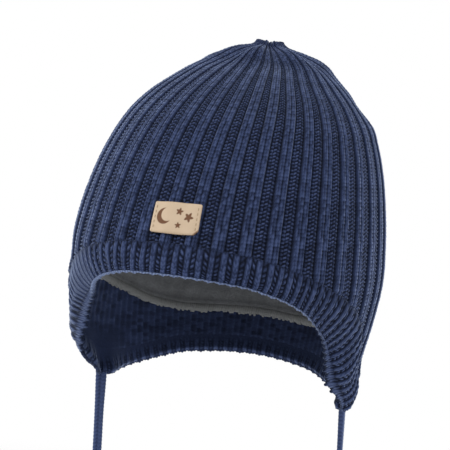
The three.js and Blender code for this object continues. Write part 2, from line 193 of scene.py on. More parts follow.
# The form of the hat, as the part has it. Shares are of the named sizes; angles go round
# from the front, +X side positive.
hatForm = {
    "breadth": 0.149,
    "length": 0.176,
    "crownHeight": 0.108,
    "flapDrop": 0.062,
    "ribs": 38,
    "ribTurn": 2.3,
    "ribRelief": 0.0014,
    "knitWall": 0.0024,
    "slackDepth": 0.0025,
    "seamHeight": 0.0004,
    "gatherLobes": 7,
    "gatherRelief": 0.0016,
    "gatherPhase": 0.6,
    "gatherFade": (0.03, 0.16),
    "hemWidth": 0.014,
    "curlDepth": 0.011,
    "curlReach": 0.016,
    "edgeOverrun": 1.2,
    "tipAround": 105.0,
    "funnelReach": 0.030,
    "funnelWidth": 0.009,
    "funnelTuck": 0.8,
    "funnelCore": 0.25,
    "funnelFlare": 1.5,
    "funnelWrap": 1.6,
    "liningWall": 0.002,
    "liningGap": 0.0013,
    "liningTop": 0.86,
    "liningDome": 0.004,
    "tangentStep": 0.001,
    "slopeStep": 2.0,
    # rise, breadth, front, back
    "sections": np.array([
        (-0.64, 0.885, 0.86, 0.86),
        (-0.50, 0.905, 0.93, 0.90),
        (-0.34, 0.945, 0.97, 0.94),
        (-0.14, 0.982, 0.99, 0.975),
        (0.03, 1.000, 0.985, 0.99),
        (0.20, 0.977, 0.925, 1.00),
        (0.38, 0.932, 0.81, 0.985),
        (0.52, 0.878, 0.67, 0.955),
        (0.64, 0.808, 0.51, 0.91),
        (0.74, 0.708, 0.33, 0.86),
        (0.83, 0.568, 0.13, 0.78),
        (0.90, 0.435, -0.05, 0.70),
        (0.96, 0.220, -0.20, 0.58),
        (1.00, 0.085, -0.28, 0.48),
    ]),
    # around, drop, curl, pick back, pick up
    "edges": np.array([
        (0, 0.00, 0.10, 0.00, 1.00),
        (20, 0.020, 0.20, 0.08, 0.99),
        (35, 0.080, 0.45, 0.24, 0.97),
        (47, 0.160, 0.70, 0.36, 0.94),
        (62, 0.290, 1.00, 0.42, 0.92),
        (76, 0.460, 1.00, 0.55, 0.85),
        (86, 0.680, 0.80, 0.74, 0.76),
        (94, 0.885, 0.35, 0.72, 0.98),
        (105, 1.000, 0.00, 0.32, 1.12),
        (118, 0.980, 0.00, -0.10, 1.06),
        (133, 0.905, 0.10, -0.17, 1.00),
        (152, 0.820, 0.15, -0.06, 1.00),
        (180, 0.785, 0.15, 0.00, 1.00),
    ]),
    # around, drop
    "liningEdges": np.array([
        (0, -0.14),
        (45, -0.06),
        (75, 0.06),
        (100, 0.16),
        (118, 0.285),
        (132, 0.385),
        (148, 0.425),
        (163, 0.415),
        (180, 0.40),
    ]),
    # around, rise, depth, wide, tall
    "dents": [
        (98, 0.885, 0.95, 16, 0.045),
        (100, 0.765, 0.73, 18, 0.05),
        (100, 0.68, -0.22, 20, 0.04),
        (-55, 0.92, 0.8, 24, 0.04),
        (-95, 0.80, 0.45, 18, 0.05),
        (160, 0.80, 0.9, 20, 0.07),
        (-80, 0.00, 0.7, 34, 0.10),
        (-87, -0.46, -3.4, 32, 0.26),
        (92, -0.42, 1.0, 26, 0.26),
    ],
}
halfBreadth = hatForm["breadth"] / 2 - hatForm["ribRelief"]
halfLength = hatForm["length"] / 2 - hatForm["ribRelief"]
meanRadius = (halfBreadth + halfLength) / 2
perDegree = degree * meanRadius  # arc length of one degree round the hat


def smoothStep(low, high, x):
    t = np.clip((x - low) / (high - low), 0, 1)
    return t * t * (3 - 2 * t)


def columnCurve(rows, column):  # a smooth curve with no overshoot between its rows
    along, value = rows[:, 0], rows[:, column]
    steps = np.diff(value) / np.diff(along)
    slopes = np.zeros(len(along))
    before, after = steps[:-1], steps[1:]
    total = np.where(before * after > 0, before + after, 1.0)
    slopes[1:-1] = np.where(before * after > 0, 2 * before * after / total, 0.0)

    def curve(at):
        x = np.clip(at, along[0], along[-1])
        i = np.clip(np.searchsorted(along, x, side="left") - 1, 0, len(along) - 2)
        span = along[i + 1] - along[i]
        t = (x - along[i]) / span
        bend = t * t * (3 - 2 * t)
        flat = value[i] * (1 - bend) + value[i + 1] * bend
        return flat + span * t * (1 - t) * (slopes[i] * (1 - t) - slopes[i + 1] * t)

    return curve


breadthAt, frontAt, backAt = (columnCurve(hatForm["sections"], c) for c in (1, 2, 3))
dropAt, curlAt, pickBackAt, pickUpAt = (columnCurve(hatForm["edges"], c) for c in (1, 2, 3, 4))
liningDropAt = columnCurve(hatForm["liningEdges"], 1)


def signedAround(around):
    return around - 360 * np.round(around / 360)


def edgeDrop(around):
    return hatForm["flapDrop"] * dropAt(np.abs(signedAround(around)))


def formPoint(around, rise):
    around, rise = np.broadcast_arrays(np.asarray(around, float), np.asarray(rise, float))
    angle = around * degree
    front = halfLength * frontAt(rise)
    back = halfLength * backAt(rise)
    x = halfBreadth * breadthAt(rise) * np.sin(angle)
    y = -((front + back) / 2) * np.cos(angle)
    side = np.abs(signedAround(around))
    step = hatForm["slopeStep"]
    slope = (edgeDrop(side + step) - edgeDrop(side - step)) / (2 * step * perDegree)
    fromEdge = (edgeDrop(side) + rise * hatForm["crownHeight"]) / np.hypot(1, slope)
    near = np.clip(1 - fromEdge / hatForm["curlReach"], 0, hatForm["edgeOverrun"])
    inward = hatForm["curlDepth"] * curlAt(side) * near * near
    for dentAround, dentRise, depth, wide, tall in hatForm["dents"]:
        across = signedAround(around - dentAround) / wide
        up = (rise - dentRise) / tall
        inward = inward + hatForm["slackDepth"] * depth * np.exp(-across * across - up * up)
    shrink = 1 - inward / np.hypot(x, y)
    return np.stack([x * shrink, (back - front) / 2 + y * shrink,
                     rise * hatForm["crownHeight"]], -1)


tipRise = -hatForm["flapDrop"] / hatForm["crownHeight"]
tipPoint = formPoint(hatForm["tipAround"], tipRise)


def hatPoint(around, rise):  # the form, drawn round into a funnel near each flap tip
    form = formPoint(around, rise)
    side = signedAround(np.broadcast_to(around, form.shape[:-1]))
    turn = np.where(side < 0, -1.0, 1.0)
    across = (np.abs(side) - hatForm["tipAround"]) * perDegree
    up = (rise - tipRise) * hatForm["crownHeight"]
    reach = np.hypot(across, up)
    core = hatForm["funnelCore"] * hatForm["funnelReach"]
    draw = hatForm["funnelTuck"] * (1 - smoothStep(core, hatForm["funnelReach"], reach))
    lean = np.arctan2(across, np.maximum(up, 0.00001))
    flare = np.minimum(np.sqrt(2 * reach / hatForm["hemWidth"]), hatForm["funnelFlare"])
    radius = hatForm["funnelWidth"] / 2 * flare
    outward = hatForm["tipAround"] * degree - math.pi / 2 + lean * hatForm["funnelWrap"]
    funnel = np.stack([
        (tipPoint[0] + radius * np.cos(outward)) * turn,
        tipPoint[1] + radius * np.sin(outward),
        form[..., 2],
    ], -1)
    return form + (funnel - form) * draw[..., None]


def hatNormal(around, rise):
    turn = hatForm["tangentStep"] / perDegree
    climb = hatForm["tangentStep"] / hatForm["crownHeight"]
    high = np.minimum(rise + climb, 1.0)
    right = hatPoint(around + turn, rise) - hatPoint(around - turn, rise)
    up = hatPoint(around, high) - hatPoint(around, high - 2 * climb)
    normal = np.cross(right, up)
    return normal / np.linalg.norm(normal, axis=-1, keepdims=True)


def offsetPoint(around, rise, out):
    around, rise, out = np.broadcast_arrays(
        np.asarray(around, float), np.asarray(rise, float), np.asarray(out, float))
    return hatPoint(around, rise) + hatNormal(around, rise) * out[..., None]


liningDepth = hatForm["knitWall"] + hatForm["liningGap"]
seatHeight = offsetPoint(90.0, hatForm["liningTop"], -liningDepth - hatForm["liningWall"])[2]
seatHeight = seatHeight + hatForm["liningDome"]


def settle(points):  # heights from the front edge become heights from the head's seat
    moved = np.array(points, float)
    moved[..., 2] -= seatHeight
    return moved


def pickLine(around):  # the band's upper line at one place along the edge
    side = signedAround(around)
    turn = np.where(side < 0, -1.0, 1.0)
    back = hatForm["hemWidth"] * pickBackAt(np.abs(side)) / perDegree
    up = hatForm["hemWidth"] * pickUpAt(np.abs(side))
    return around + turn * back, (up - edgeDrop(side)) / hatForm["crownHeight"]


pickSamples = np.linspace(-200, 200, 1601)
pickAround, pickRise = pickLine(pickSamples)


def pickRiseAt(around):
    return np.interp(signedAround(around), pickAround, pickRise)


def ripple(around, height, seed):  # slow unevenness of hand-soft cloth, from -1 to 1
    total = np.zeros(np.broadcast(around, height).shape)
    random = np.random.default_rng(seed)
    for _ in range(6):
        turns = random.integers(2, 23)
        wave = random.uniform(40, 260)
        phase = random.uniform(0, 2 * math.pi)
        total = total + np.sin(turns * around * degree + wave * height + phase)
    return total / 6


grainRandom = np.random.default_rng(21)
grainTable = grainRandom.uniform(-1, 1, (509, 251))


def stitchGrain(wale, course, seed=0):  # each stitch a little unlike its neighbours
    across = np.floor(wale).astype(int) + 37 * seed
    along = np.floor(course).astype(int) + 11 * seed
    return grainTable[across % grainTable.shape[0], along % grainTable.shape[1]]


fineWeld = 0.00001  # joins the edges of a grid that meet

# A grid of quads laid on computed places. fields are values kept on its points.
def shapeGrid(name, points, uv, fields, keep=None, weld=0.0, flip=False, close=False):
    rows, columns = points.shape[:2]
    bm = bmesh.new()
    bmesh.ops.create_grid(bm, x_segments=columns - 1, y_segments=rows - 1, size=1.0)
    mesh = bpy.data.meshes.new(name)
    bm.to_mesh(mesh)
    bm.free()
    mesh.vertices.foreach_set("co", points.reshape(-1).astype(np.float32))
    corners = np.empty(len(mesh.loops), np.int32)
    mesh.loops.foreach_get("vertex_index", corners)
    layer = mesh.uv_layers.new(name="UVMap")
    layer.data.foreach_set("uv", uv.reshape(-1, 2)[corners].reshape(-1).astype(np.float32))
    for field, values in fields.items():
        kept = mesh.attributes.new(field, "FLOAT", "POINT")
        kept.data.foreach_set("value", values.reshape(-1).astype(np.float32))
    if keep is not None or weld or flip or close:
        bm = bmesh.new()
        bm.from_mesh(mesh)
        if keep is not None:
            wanted = keep.reshape(-1)
            gone = [vert for vert, stays in zip(bm.verts, wanted) if not stays]
            bmesh.ops.delete(bm, geom=gone, context="VERTS")
        if weld:
            bmesh.ops.remove_doubles(bm, verts=bm.verts, dist=weld)
        if flip:
            bmesh.ops.reverse_faces(bm, faces=bm.faces)
        if close:
            rim = [edge for edge in bm.edges if edge.is_boundary]
            bmesh.ops.holes_fill(bm, edges=rim, sides=0)
        bm.to_mesh(mesh)
        bm.free()
    mesh.shade_smooth()
    return addPiece(name, mesh)


# One knit stitch, alike on the crown and the band. Widths are in wales.
stitchForm = {
    "legs": (0.14, 0.80),
    "legLean": 0.6,
    "shoulder": 0.5,
    "evenIn": 0.7,
    "evenOut": 0.6,
    "creaseWidth": 0.26,
    "lineWidth": 0.2,
    "round": 0.18,
    "grainShade": 0.24,
    # lineShade is painted shade along the lines between wales
    "lineShade": 0.22,
    "jointWidth": 0.20,
    "flankWidth": 0.30,
}

# Stitches of the crown. A rib is four raised knit wales and three sunk purl wales.
crownKnit = {
    "knitWales": 4,
    "purlWales": 3,
    "courseHeight": 0.00178,
    "rowsPerCourse": 3,
    "purlShare": 0.46,
    "topPurlShare": 0.26,
    "purlSpan": (0.25, 0.85),  # shares of the girth between which the channels narrow
    "knitFace": 0.00120,
    # faceLight, ridgeShade and creaseShade set the painted light of the knit faces: highlight on
    # the ridges, shade in the middle crease
    "faceLight": 0.66,
    "legRelief": 0.00022,
    "ridgeRelief": 0.00030,
    "ridgeShade": 0.66,
    "middleCrease": 0.00055,
    "creaseShade": 0.52,
    "waleCrease": 0.00022,
    "purlFloor": -0.00012,
    "purlRelief": 0.00080,
    "zigzag": 0.38,
    "stagger": 0.30,
    "flankCrease": 0.00040,
    "grainRelief": 0.00010,
    "settleLength": 0.0010,
    "topLift": 0.0013,
    "topReach": 0.010,
    "topPuff": 0.0014,
    "puffWay": 0.055,
    "puffWide": 0.035,
    "closeRows": 7,  # rings that close the top
    "closeSwell": 0.0007,
    "closeSink": 0.0012,
    "panels": [
        # name, first rib, ribs, columns on a rib's knit wales and on its purl wales
        ("knit_crown_front", -5, 10, 16, 12),
        ("knit_crown_left", 5, 9, 16, 12),
        ("knit_crown_back", 14, 10, 14, 10),
        ("knit_crown_right", 24, 9, 16, 12),
    ],
}


def knitFace(wale, course, wales, grain, knit):  # height and painted light of raised knit wales: painted highlight on the stitch ridges, painted shade in the creases
    centre = (wale - wales / 2) / (wales / 2)
    share = wale - np.floor(wale)
    legs = np.abs(2 * share - 1)
    low, spread = stitchForm["legs"]
    leg = np.sin(math.pi * np.clip(low + spread * legs, 0, 1))
    ridge = 0.5 + 0.5 * np.cos(2 * math.pi * (course - stitchForm["legLean"] * legs))
    shoulder = smoothStep(0, stitchForm["shoulder"], wale)
    shoulder = shoulder * smoothStep(0, stitchForm["shoulder"], wales - wale)
    crease = np.exp(-((wale - wales / 2) / stitchForm["creaseWidth"]) ** 2)
    small = 0.0
    for line in range(1, wales):
        if line != wales / 2:
            small = small + np.exp(-((wale - line) / stitchForm["lineWidth"]) ** 2)
    height = knit["knitFace"] * (1 - stitchForm["round"] * centre**4)
    height = height + knit["legRelief"] * leg + knit["ridgeRelief"] * (ridge - 0.5) * leg
    height = height + knit["grainRelief"] * grain
    height = height - knit["middleCrease"] * crease - knit["waleCrease"] * small
    light = knit["faceLight"] + knit["ridgeShade"] * (ridge - 0.45) * leg
    light = light + stitchForm["grainShade"] * grain - stitchForm["lineShade"] * small
    light = light - knit["creaseShade"] * crease * (0.75 + 0.5 * ridge)
    even = smoothStep(0, stitchForm["evenIn"], wale)
    even = even * smoothStep(0, stitchForm["evenOut"], wales - wale)
    return shoulder * height, even * light, shoulder


def crownRelief(wale, course, sway, squeeze, knit):
    knitWales = knit["knitWales"]
    grain = stitchGrain(wale, course)
    knitHeight, knitLight, shoulder = knitFace(wale, course, knitWales, grain, knit)
    # sunk purl channel: rows of bumps that interlock in a zigzag
    purl = wale - knitWales
    zigzag = np.abs((purl + 0.5 * np.round(2 * sway)) % 2 - 1)  # up and down over two wales
    shift = knit["zigzag"] * zigzag + knit["stagger"] * (np.floor(purl) % 2)
    bump = 0.5 + 0.5 * np.cos(2 * math.pi * (course - shift + 0.10 * grain))
    joint = np.exp(-((purl - np.round(purl)) / stitchForm["jointWidth"]) ** 2)
    flank = np.exp(-(purl / stitchForm["flankWidth"]) ** 2)
    flank = flank + np.exp(-((knit["purlWales"] - purl) / stitchForm["flankWidth"]) ** 2)
    purlHeight = knit["purlRelief"] * bump * (1 - 0.7 * flank) * (1 - 0.55 * joint)
    purlHeight = purlHeight + knit["purlFloor"]
    purlHeight = purlHeight - knit["flankCrease"] * flank
    # painted light on the purl bumps, painted shade on their flanks and at the joints between
    # them
    purlLight = -0.15 + 1.75 * bump**1.7 * (1 - 0.8 * flank) * (0.9 + 0.4 * grain)
    purlLight = purlLight * (1 - 0.85 * joint)
    inKnit = wale <= knitWales
    height = np.where(inKnit, knitHeight - knit["flankCrease"] * (1 - shoulder), purlHeight)
    light = np.where(inKnit, knitLight, purlLight)
    return height * squeeze, np.clip(light, 0, 1)


def courseScale(form):  # heights of the knit's rows, by the mean length along the cloth
    rises = np.linspace(tipRise - 0.02, 1.0, 500)
    around = np.arange(0, 360, 15.0)
    points = hatPoint(around[:, None], rises[None, :])
    lengths = np.linalg.norm(np.diff(points, axis=1), axis=-1).mean(0)
    return rises, np.concatenate([[0.0], np.cumsum(lengths)])


riseSamples, lengthSamples = courseScale(hatForm)


def girthAt(rise):  # the hat's girth at a height, as a share of its full girth
    breadth = breadthAt(rise)
    depth = (frontAt(rise) + backAt(rise)) / 2
    return (breadth + depth) / 2


def ribPlaces(firstRib, ribs, knitColumns, purlColumns, knit):  # each column's rib and wale
    wales = np.concatenate([
        np.arange(knitColumns) * knit["knitWales"] / knitColumns,
        knit["knitWales"] + np.arange(purlColumns) * knit["purlWales"] / purlColumns,
    ])
    rib = np.repeat(np.arange(firstRib, firstRib + ribs), len(wales))
    wale = np.tile(wales, ribs)
    return np.append(rib, firstRib + ribs), np.append(wale, 0.0)


def ribAround(rib, wale, squeeze, knit):  # the purl channels narrow towards the gather
    narrow, wide = knit["topPurlShare"], knit["purlShare"]
    purlShare = (narrow + (wide - narrow) * smoothStep(*knit["purlSpan"], squeeze))[:, None]
    onKnit = wale / knit["knitWales"] * (1 - purlShare)
    onPurl = 1 - purlShare + (wale - knit["knitWales"]) / knit["purlWales"] * purlShare
    share = np.where(wale <= knit["knitWales"], onKnit, onPurl) - (1 - purlShare) / 2
    pitch = 360 / hatForm["ribs"]
    return hatForm["ribTurn"] + (rib + share) * pitch


def closeTop(points, knit):  # the top closes in a small puckered hollow
    rings = knit["closeRows"]
    middle = settle(hatPoint(np.arange(0, 360, 10.0), 1.0)).mean(0)
    top = points[-1]
    closed = []
    for k in range(1, rings + 1):
        t = k / rings
        ring = middle + (top - middle) * (1 - t)
        ring[:, 2] = top[:, 2] + (middle[2] - top[:, 2]) * t**2
        ring[:, 2] += knit["closeSwell"] * math.sin(math.pi * t) - knit["closeSink"] * t * t
        closed.append(ring)
    return np.concatenate([points, np.array(closed)])


def makeCrownPanel(name, firstRib, ribs, knitColumns, purlColumns, knit):
    rib, wale = ribPlaces(firstRib, ribs, knitColumns, purlColumns, knit)
    total = lengthSamples[-1]
    step = knit["courseHeight"] / knit["rowsPerCourse"]
    count = int(total / step)
    lengths = total - step * np.arange(count)[::-1]
    rises = np.interp(lengths, lengthSamples, riseSamples)
    course = lengths / knit["courseHeight"]
    squeeze = np.clip(girthAt(rises), 0.08, 1)
    around = ribAround(rib, wale, squeeze, knit)
    rise = np.broadcast_to(rises[:, None], around.shape)
    # the lower end follows the band's upper line
    lowest = pickRiseAt(around)
    keep = rise > lowest - (rises[1] - rises[0])
    rise = np.maximum(rise, lowest)
    sway = 0.10 * ripple(around, rise * 0.1, 3)
    rowShift = 0.07 * ripple(around * 1.7, rise * 0.1, 5)
    way = (1 - rise) / (1 - lowest)
    height, light = crownRelief(
        np.broadcast_to(wale[None, :], around.shape),
        course[:, None] + rowShift,
        sway,
        np.clip(squeeze, 0.75, 1)[:, None] ** 0.7,
        knit,
    )
    fromPick = (rise - lowest) * hatForm["crownHeight"]
    settleIn = smoothStep(0, knit["settleLength"], fromPick)
    height = hatForm["seamHeight"] + (height - hatForm["seamHeight"]) * settleIn
    # painted shade near the seam with the band
    light = light * (0.6 + 0.4 * settleIn)
    height = height * (0.35 + 0.65 * smoothStep(0, 0.02, way))
    height = height + knit["topPuff"] * np.exp(
        -((way - knit["puffWay"]) / knit["puffWide"]) ** 2)
    lobe = np.cos(hatForm["gatherLobes"] * around * degree + hatForm["gatherPhase"])
    gather = hatForm["gatherRelief"] * lobe * (1 - smoothStep(*hatForm["gatherFade"], way))
    gather = gather * (0.3 + 0.7 * smoothStep(0.0, 0.07, way))
    points = settle(offsetPoint(around + sway, rise, height + gather))
    pleats = 1 + 0.5 * np.cos(hatForm["ribs"] / 2 * around * degree)
    points[..., 2] += knit["topLift"] * pleats * np.exp(-((way / knit["topReach"]) ** 2))
    uv = np.stack([rib[None, :] * 7 + wale[None, :] + 0 * rise, course[:, None] + 0 * rise], -1)
    rings = knit["closeRows"]
    points = closeTop(points, knit)
    lastUv = np.repeat(uv[-1:], rings, 0)
    lastUv[..., 1] += np.arange(1, rings + 1)[:, None] / knit["rowsPerCourse"]
    uv = np.concatenate([uv, lastUv])
    # painted shade on the rings that close the top hollow
    light = np.concatenate([light, np.repeat(light[-1:] * 0.8, rings, 0)])
    keep = np.concatenate([keep, np.ones((rings, keep.shape[1]), bool)])
    return shapeGrid(name, points, uv, {"light": light}, keep=keep, weld=fineWeld)


crownPanels = [makeCrownPanel(*panel, crownKnit) for panel in crownKnit["panels"]]
print("crown knitted", sum(len(p.data.polygons) for p in crownPanels), "faces")


# The hem band: fine ribs square to the edge, a cast-off chain, a closed ring of knit.
hemKnit = {
    "ribSpacing": 0.0053,
    "wales": 3.2,
    "knitWales": 2,
    "columnsPerRib": 14,
    "outerRows": 34,
    "edgeRows": 8,
    "innerRows": 18,
    "startShare": -0.02,
    "knitFace": 0.00070,
    # faceLight, ridgeShade and creaseShade set the band's painted light, as on the crown
    "faceLight": 0.80,
    "legRelief": 0.00010,
    "ridgeRelief": 0.00034,
    "ridgeShade": 0.55,
    "middleCrease": 0.00014,
    "creaseShade": 0.20,
    "waleCrease": 0.0,
    "grainRelief": 0.00012,
    "purlFloor": -0.00020,
    "purlRelief": 0.00080,
    "innerRelief": 0.5,
    "edgeBulge": 0.40,
    "chainWidth": 0.0015,
    "chainRelief": 0.00030,
    "scallop": 0.0005,
    "teeth": 0.0006,
    "edgeThinning": 0.55,
    "trim": 0.0011,
    "bend": 1.1,
    "sway": 0.0006,
    # how far along the edge ribs lean between crown and edge, in degrees: -X side, +X side
    "leans": [
        # around, wide, degrees
        ((50.0, 12.0, -3.0), (70.0, 14.0, 5.0)),
        ((62.0, 20.0, -7.0),),
    ],
    "flapRelief": 0.35,
    # stretches of the edge, in degrees from the front, over which something sets in
    "trimSpans": ((45, 70), (112, 125)),
    "flapSpans": ((50, 66), (54, 74)),  # -X side, +X side
    "cornerSpans": ((38, 50), (62, 74)),
    "holeSpan": (56, 68),
    # cornerLight is the level the painted light is evened to at the corners
    "cornerLight": 0.58,
    "cornerCalm": 0.6,
}


def bandRelief(wale, course, rib, knit):
    knitWales = knit["knitWales"]
    grain = stitchGrain(wale + 3 * rib, course, 5)
    knitHeight, knitLight, _ = knitFace(wale, course, knitWales, grain, knit)
    purl = (wale - knitWales) / (knit["wales"] - knitWales)
    rim = np.abs(2 * purl - 1)
    lean = 0.6 * (purl - 0.5) * np.where(rib % 2, 1, -1)
    bump = 0.5 + 0.5 * np.cos(2 * math.pi * (course + lean + 0.15 * grain))
    purlHeight = knit["purlFloor"] + knit["purlRelief"] * bump * (1 - rim**2)
    # painted light on the purl bumps, painted shade towards their rims
    purlLight = 0.0 + 1.15 * bump**1.3 * (1 - rim**2) * (0.85 + 0.4 * grain)
    inKnit = wale <= knitWales
    height = np.where(inKnit, knitHeight, purlHeight)
    return height, np.clip(np.where(inKnit, knitLight, purlLight), 0, 1)


def ribStart(edge, knit):  # where on the crown the rib that ends at this place starts
    right, left = (
        sum(lean * np.exp(-((np.abs(edge) - around) / wide) ** 2) for around, wide, lean in leans)
        for leans in knit["leans"])
    return pickLine(np.where(edge < 0, edge - right, edge + left))


def bandColumns(knit):  # places along the edge, evenly spaced, and the wale at each
    samples = np.linspace(-180, 180, 2881)
    upAround, upRise = ribStart(samples, knit)
    lowRise = -edgeDrop(samples) / hatForm["crownHeight"]
    middle = hatPoint((upAround + samples) / 2, (upRise + lowRise) / 2)
    run = np.concatenate([[0.0], np.cumsum(np.linalg.norm(np.diff(middle, axis=0), axis=1))])
    ribs = int(round(run[-1] / knit["ribSpacing"]))
    count = ribs * knit["columnsPerRib"]
    along = np.arange(count + 1) * run[-1] / count
    rib = np.arange(count + 1) // knit["columnsPerRib"] % ribs
    wale = (np.arange(count + 1) % knit["columnsPerRib"]) * knit["wales"] / knit["columnsPerRib"]
    return np.interp(along, run, samples), wale, rib, along


def makeHemBand(knit):
    edge, wale, rib, along = bandColumns(knit)
    upAround, upRise = ribStart(edge, knit)
    lowRise = -edgeDrop(edge) / hatForm["crownHeight"]
    width = hatForm["hemWidth"]
    side = np.abs(edge)
    scallop = 0.5 - 0.5 * np.cos(2 * math.pi * (wale + 0.5) / knit["wales"])
    scallop = knit["scallop"] * scallop * (1 + 0.4 * grainTable[rib % grainTable.shape[0], 7])
    scallop = scallop + knit["teeth"] * (0.5 + 0.5 * np.cos(6 * math.pi * wale / knit["wales"]))
    scallop = scallop * smoothStep(3, 18, np.abs(side - hatForm["tipAround"]))
    trimOut, trimIn = knit["trimSpans"]
    trim = 1 - smoothStep(*trimOut, side) + smoothStep(*trimIn, side)
    lowRise = lowRise + knit["trim"] * trim / hatForm["crownHeight"]
    # seen from the front, the flaps show the ribs right up to the edge
    rightFlap, leftFlap = knit["flapSpans"]
    flap = np.where(edge < 0, smoothStep(*rightFlap, -edge), smoothStep(*leftFlap, edge))
    # the -X flap is stretched: its purl channels open into two holes
    holes = smoothStep(*knit["holeSpan"], -edge) * (wale > knit["knitWales"])
    cornerIn, cornerOut = knit["cornerSpans"]
    corner = smoothStep(*cornerIn, -edge) * (1 - smoothStep(*cornerOut, -edge))

    def place(way, out):  # ribs leave the crown upright and turn square to the edge
        way = way * (1 + way**6 * scallop / width)
        rest = 1 - way
        turned = 1 - np.sign(rest) * np.abs(rest) ** (1 + knit["bend"])
        way = np.where(way > 1, 1 + (1 + knit["bend"]) * (way - 1), np.maximum(way, 0) ** (
            1 + knit["bend"]))
        turned = np.where(rest < 0, 1 - rest, turned)
        around = upAround + (edge - upAround) * way
        rise = upRise + (lowRise - upRise) * turned
        around = around + knit["sway"] / perDegree * ripple(edge * 3, way * 0.05, 9) * (1 - way)
        return offsetPoint(around, rise, out)

    def course(way):
        return way * width / crownKnit["courseHeight"] + 0.10 * ripple(edge * 2.3, way * 0.02, 8)

    def chain(way):  # the cast-off chain, one link to a wale
        return 0.5 + 0.5 * np.cos(2 * math.pi * (wale * 3 / knit["wales"] + 1.4 * way))

    def outer(way):
        height, light = bandRelief(wale, course(way), rib, knit)
        bridge = np.exp(-((way - 0.56) / 0.09) ** 2)
        bridge = bridge + 1 - smoothStep(0.14, 0.28, way) + smoothStep(0.82, 0.92, way)
        # painted shade in the holes, painted light on the yarn that bridges them
        light = light + holes * (0.08 + 0.5 * bridge - light)
        height = height + holes * (0.0006 * bridge - 0.0003 - height)
        # at the corners the painted light is evened out
        light = light + 0.7 * corner * (knit["cornerLight"] - light)
        height = height * (1 - knit["cornerCalm"] * corner)
        height = height * (1 - knit["flapRelief"] * smoothStep(66, 80, -edge))
        start = smoothStep(0, crownKnit["settleLength"] / width, way)
        height = hatForm["seamHeight"] + (height - hatForm["seamHeight"]) * start
        # painted shade near the seam with the crown
        light = light * (0.6 + 0.4 * start)
        height = height + 0.006 * min(way, 0.0)
        near = 1 - knit["chainWidth"] / width
        close = smoothStep(near, 1, way)
        height = height * (1 - close) + close * (0.0005 + knit["chainRelief"] * chain(way))
        # painted light on the chain links
        light = light * (1 - close) + close * (0.55 + 0.45 * chain(way))
        # painted shade in a narrow line just above the chain
        light = light * (1 - 0.6 * np.exp(-((way - near + 0.01) / 0.025) ** 2))
        return height, light, close

    rows, lights, chainHighlights, ups = [], [], [], []
    frontHighlight = 1 - 0.85 * flap  # painted highlight: the chain is paler along the front edge alone
    for way in np.linspace(knit["startShare"], 1, knit["outerRows"]):
        height, light, close = outer(way)
        rows.append(place(way, height))
        lights.append(light)
        # painted highlight on the outer rows of the cast-off chain
        chainHighlights.append(close * (0.45 + 0.55 * chain(way)) * frontHighlight)
        ups.append(way * width)
    # painted shade on the inner face towards the back
    insideDim = 1 - 0.25 * smoothStep(115, 150, np.abs(edge))
    edgeHeight = outer(1.0)[0]
    ribLight = bandRelief(wale, course(1.0), rib, knit)[1]
    wall = hatForm["knitWall"] * (1 - knit["edgeThinning"])
    down = place(1.0, 0.0) - place(0.9, 0.0)
    down = down / np.linalg.norm(down, axis=-1, keepdims=True)
    half = (edgeHeight + wall) / 2
    for k in range(1, knit["edgeRows"]):
        turn = math.pi * k / knit["edgeRows"]
        out = (edgeHeight - wall) / 2 + half * math.cos(turn)
        link = chain(1.0 + 0.06 * k)
        push = half * knit["edgeBulge"] * math.sin(turn) * (0.7 + 0.6 * link)
        rows.append(place(1.0, out) + down * push[:, None])
        # painted light on the chain links, and on the flaps painted light from the ribs
        lights.append((0.35 + 0.65 * link) * (1 - flap) + (0.05 + 0.6 * ribLight) * flap)
        # painted highlight on the chain, fading as it turns under
        chainHighlights.append((0.45 + 0.55 * link) * max(0.0, math.cos(turn / 2)) ** 1.5 * frontHighlight)
        ups.append(width + half.mean() * turn)
    for way in np.linspace(1, knit["startShare"], knit["innerRows"]):
        height, light = bandRelief((wale + 1.5) % knit["wales"], course(way), rib, knit)
        fade = smoothStep(0.25, 0.50, way)
        lift = fade * (1 - smoothStep(0.90, 1.0, way))
        thin = 1 - knit["edgeThinning"] * smoothStep(0.70, 1.0, way)
        inner = hatForm["knitWall"] * thin + knit["innerRelief"] * (height - 0.0002) * lift
        rows.append(place(way, -inner))
        brim = smoothStep(0.60, 0.92, way)
        # painted light of the inner ribs, painted shade towards the back, lighter towards the lip
        lights.append((0.44 + 0.65 * (light - 0.45) * fade) * (insideDim + 0.75 * brim))
        chainHighlights.append(np.zeros(len(edge)))
        ups.append(width + 0.004 + (1 - way) * width)
    for values in (rows, lights, chainHighlights):
        values.append(values[0])
    ups.append(ups[-1] + wall)
    points = settle(np.array(rows))
    uv = np.zeros(points.shape[:2] + (2,))
    uv[..., 0] = along[None, :] / crownKnit["courseHeight"]
    uv[..., 1] = np.array(ups)[:, None] / crownKnit["courseHeight"]
    return shapeGrid("hem_band_knit", points, uv,
                     {"light": np.array(lights), "pale": np.array(chainHighlights)},
                     weld=fineWeld, flip=True)


hemBand = makeHemBand(hemKnit)
print("hem band knitted", len(hemBand.data.polygons), "faces")

# The inner face of the knit, seen below the lining: fine upright lines.
insideKnit = {
    "lines": 3.5,  # to a rib
    "columnsPerLine": 6,
    "overlap": 0.012,  # behind the lining
    "rows": 64,
    "lineRelief": 0.00022,
    "bumpRelief": 0.00012,
    "reachDown": 0.0075,  # over the band's inner face
    "overBand": 0.0003,
    "tuck": 0.0010,
    "tuckLength": 0.0030,
    "overFade": 0.004,
    "calmSpan": (6, 22),  # degrees from the flap tips
    "calmHeight": 0.010,
}


def liningLow(around):
    signed = signedAround(around)
    apart = (signed - liningCloth["liftAround"]) / liningCloth["liftWide"]
    low = liningCloth["lift"] * np.exp(-apart * apart)
    return (low - hatForm["flapDrop"] * liningDropAt(np.abs(signed))) / hatForm["crownHeight"]


